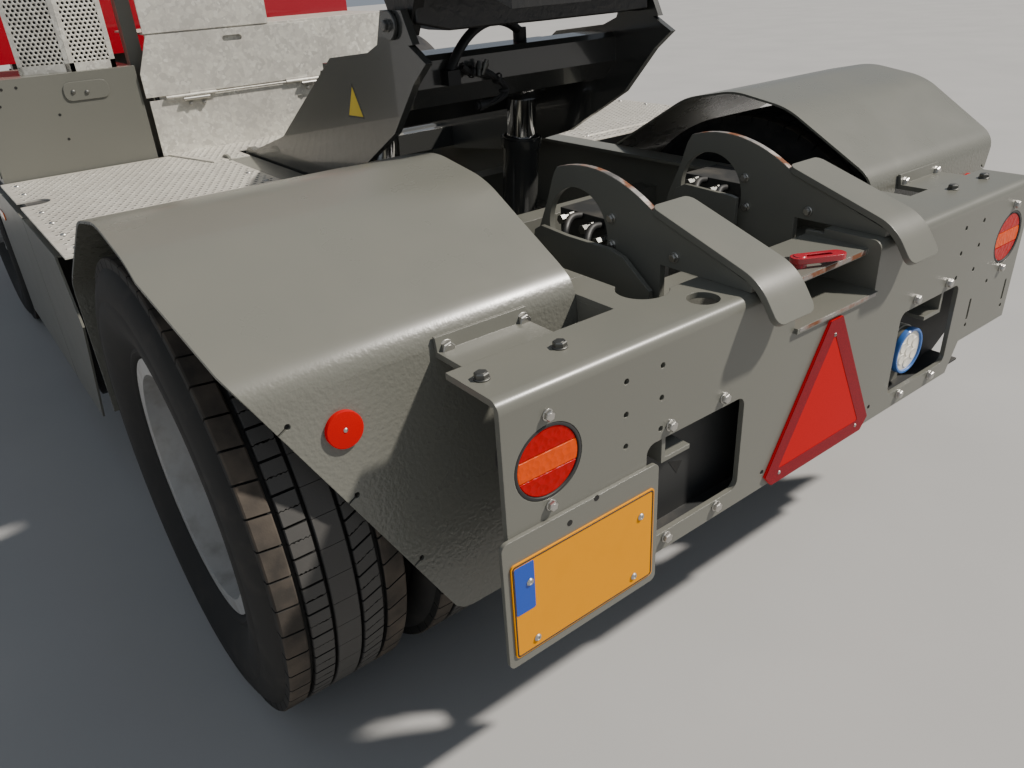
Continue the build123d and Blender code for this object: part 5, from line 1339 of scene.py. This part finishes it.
piece("seat_bellows", bellows, black, "cab", "seat_cloth", bevel=5)
rests = bmesh.new()
pillow(rests, place(3790, seat_y[1] + 20, seat_low + 470), (330, 62, 62), 4)
cuboid(rests, (3600, 3680), (seat_y[1] - 10, seat_y[1] + 12), (seat_low + 440, seat_low + 500))
piece("seat_armrest", rests, black, "cab", "seat_cloth", crease=60)

# Engine: ribs, sump flange, valve cover, pulleys, filter and the gearbox's rings

engine_parts = bmesh.new()
for k in range(9):
    station = 3130 + k * 135
    cuboid(engine_parts, (station, station + 26), (-338, 338), (-300, -120))
cuboid(engine_parts, (3080, 4320), (-345, 345), (-112, -92))
cuboid(engine_parts, (3120, 4290), (90, 260), (208, 240))
for _, hand in hands:
    for k in range(6):
        station = 3170 + k * 190
        cuboid(engine_parts, (station, station + 30), sorted((hand * 330, hand * 372)), (20, 130))
pulleys_station = 4348
low_pulley = ((0, 110), (26, 110), (30, 100), (30, 40), (44, 36), (44, 0))
turned(engine_parts, place(pulleys_station, 0, -60), to_front, low_pulley, 40)
high_pulley = ((0, 60), (30, 60), (30, 20), (40, 18), (40, 0))
turned(engine_parts, place(pulleys_station, 190, 60), to_front, high_pulley, 32)
turned(engine_parts, place(3500, 372, -200), upward, ((-90, 46), (60, 46), (70, 52), (84, 52)), 32)
for k in range(7):
    hoop(engine_parts, place(2760 + k * 46, 0, -310), to_front, (0, 12), 178, 150, 32)
piece("engine_details", engine_parts, engine_paint, bevel=2)

# Joints of the propeller shaft and brake chambers under the frame

axle_parts = bmesh.new()
joint_profile = ((0, 70), (16, 70), (16, 58), (90, 52), (90, 62), (104, 62))
chamber_profile = ((0, 62), (8, 72), (60, 74), (64, 80), (74, 80), (78, 74), (130, 70))
for station in (905, 2520):
    turned(axle_parts, place(station, 0, -395), to_front, joint_profile, 32)
for _, hand in hands:
    turned(axle_parts, place(600, hand * 420, -330), to_front, chamber_profile, 36)
piece("axle_details", axle_parts, paint, bevel=1)

# Headlamps: pockets with two reflectors behind a clear pane

pockets, bowls, panes = bmesh.new(), bmesh.new(), bmesh.new()
lamp_rear, lamp_front = extent("headlamps")[0]
headlamp_y, headlamp_height = 760, -270
bowl_inside = ((0, 10), (4, 24), (14, 36), (30, 43), (38, 44))
bowl_outside = ((38, 46), (28, 45), (10, 38), (-1, 24), (-1, 10))
for _, hand in hands:
    y = hand * headlamp_y
    badge(pockets, place(lamp_rear + 1, y, headlamp_height), (197, 137), 28, to_front, 8)
    badge(panes, place(lamp_front - 7, y, headlamp_height), (197, 137), 28, to_front, 6)
    for aside in (-48, 48):
        centre = place(lamp_rear + 8, y + aside, headlamp_height)
        turned(bowls, centre, to_front, bowl_inside + bowl_outside, 36, hollow=True)
        rivet(bowls, centre, to_front, 10)
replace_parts(piece("headlamp_pockets", pockets, black), "headlamps")
piece("headlamp_bowls", bowls, lamp_silver)
piece("headlamp_panes", panes, clear_lens, slot="headlamp_lens", bevel=2)

# Front bumper: slots and tow sockets, drawn as painted shade

bumper_front = extent("front_bumper")[0][1]
slots = bmesh.new()
for height in (-230, -270, -310):
    badge(slots, place(bumper_front - 0.4, 0, height), (560, 20), 9, to_front, 0.5)
for _, hand in hands:
    turned(slots, place(bumper_front, hand * 430, -380), to_front, ((-1, 30), (0.1, 30)), 30)
piece("bumper_slots", slots, painted_hole_shade)

# Cab steps: raised grip marks on the treads

grips = bmesh.new()
for height in (-500, -200, 100):
    for row in range(6):
        for column in range(9):
            at = place(2925 + row * 36 + (18 if column % 2 else 0), 890 + column * 34, height)
            turned(grips, at, upward, ((-0.5, 8), (2.4, 5.5), (2.4, 3), (-0.5, 2.6)), 8, hollow=True)
piece("step_grips", grips, zinc)

# Bright worn edges of the coupling pocket

worn = bmesh.new()
cuboid(worn, (-8.4, -7.8), (-140, 140), (-121, -113))
cuboid(worn, (29.6, 30), (-140, 140), (-34, -24))
piece("pocket_worn_edges", worn, worn_steel)

# Floor, light and camera, in metres

floor = bpy.data.objects.new("floor", bpy.data.meshes.new("floor"))
floor_corners = [(40.0 * a, 40.0 * b, 0) for a, b in ((-1, -1), (1, -1), (1, 1), (-1, 1))]
floor.data.from_pydata(floor_corners, [], [(0, 1, 2, 3)])
floor_look = Look("floor", (0.36, 0.356, 0.348), 0.85)
floor_look.mix(floor_look.noise(1.2, 0.35, 0.7, 6), colour=(0.33, 0.327, 0.32))
floor.data.materials.append(floor_look.material)
bpy.context.scene.collection.objects.link(floor)

world = bpy.data.worlds.new("studio")
bpy.context.scene.world = world
world.use_nodes = True
sky = world.node_tree.nodes["Background"]
sky.inputs["Color"].default_value = (0.78, 0.87, 1.0, 1.0)
sky.inputs["Strength"].default_value = 0.33


def light(name, kind, energy, towards, colour, **settings):
    """A lamp that shines along a direction."""
    data = bpy.data.lights.new(name, kind)
    data.energy = energy
    data.color = colour
    for setting, choice in settings.items():
        setattr(data, setting, choice)
    lamp = bpy.data.objects.new(name, data)
    lamp.rotation_euler = Vector(towards).to_track_quat("-Z", "Y").to_euler()
    bpy.context.scene.collection.objects.link(lamp)
    return lamp


light("key", "SUN", 6.4, (0.40, 0.62, -0.80), (1.0, 0.94, 0.86), angle=radians(3))
fill = light("fill", "AREA", 45, (0.55, -0.75, -0.5), (0.9, 0.95, 1.0), size=5.0)
fill.location = (-6.0, 5.5, 4.5)

azimuth, elevation, roll = radians(-35.838), radians(-27.907), radians(-3.639)
forward = Vector((cos(elevation) * cos(azimuth), cos(elevation) * sin(azimuth), sin(elevation)))
level_right = Vector((sin(azimuth), -cos(azimuth), 0))
level_up = level_right.cross(forward)
camera_right = level_right * cos(roll) + level_up * sin(roll)
camera_up = level_up * cos(roll) - level_right * sin(roll)
camera_data = bpy.data.cameras.new("camera")
camera_data.lens = 27.69
camera_data.sensor_width = 36.0
camera = bpy.data.objects.new("camera", camera_data)
camera_turn = Matrix((camera_right, camera_up, -forward)).transposed().to_4x4()
camera.matrix_world = Matrix.Translation((-3.4513, 1.4726, 1.4824)) @ camera_turn
bpy.context.scene.collection.objects.link(camera)
bpy.context.scene.camera = camera
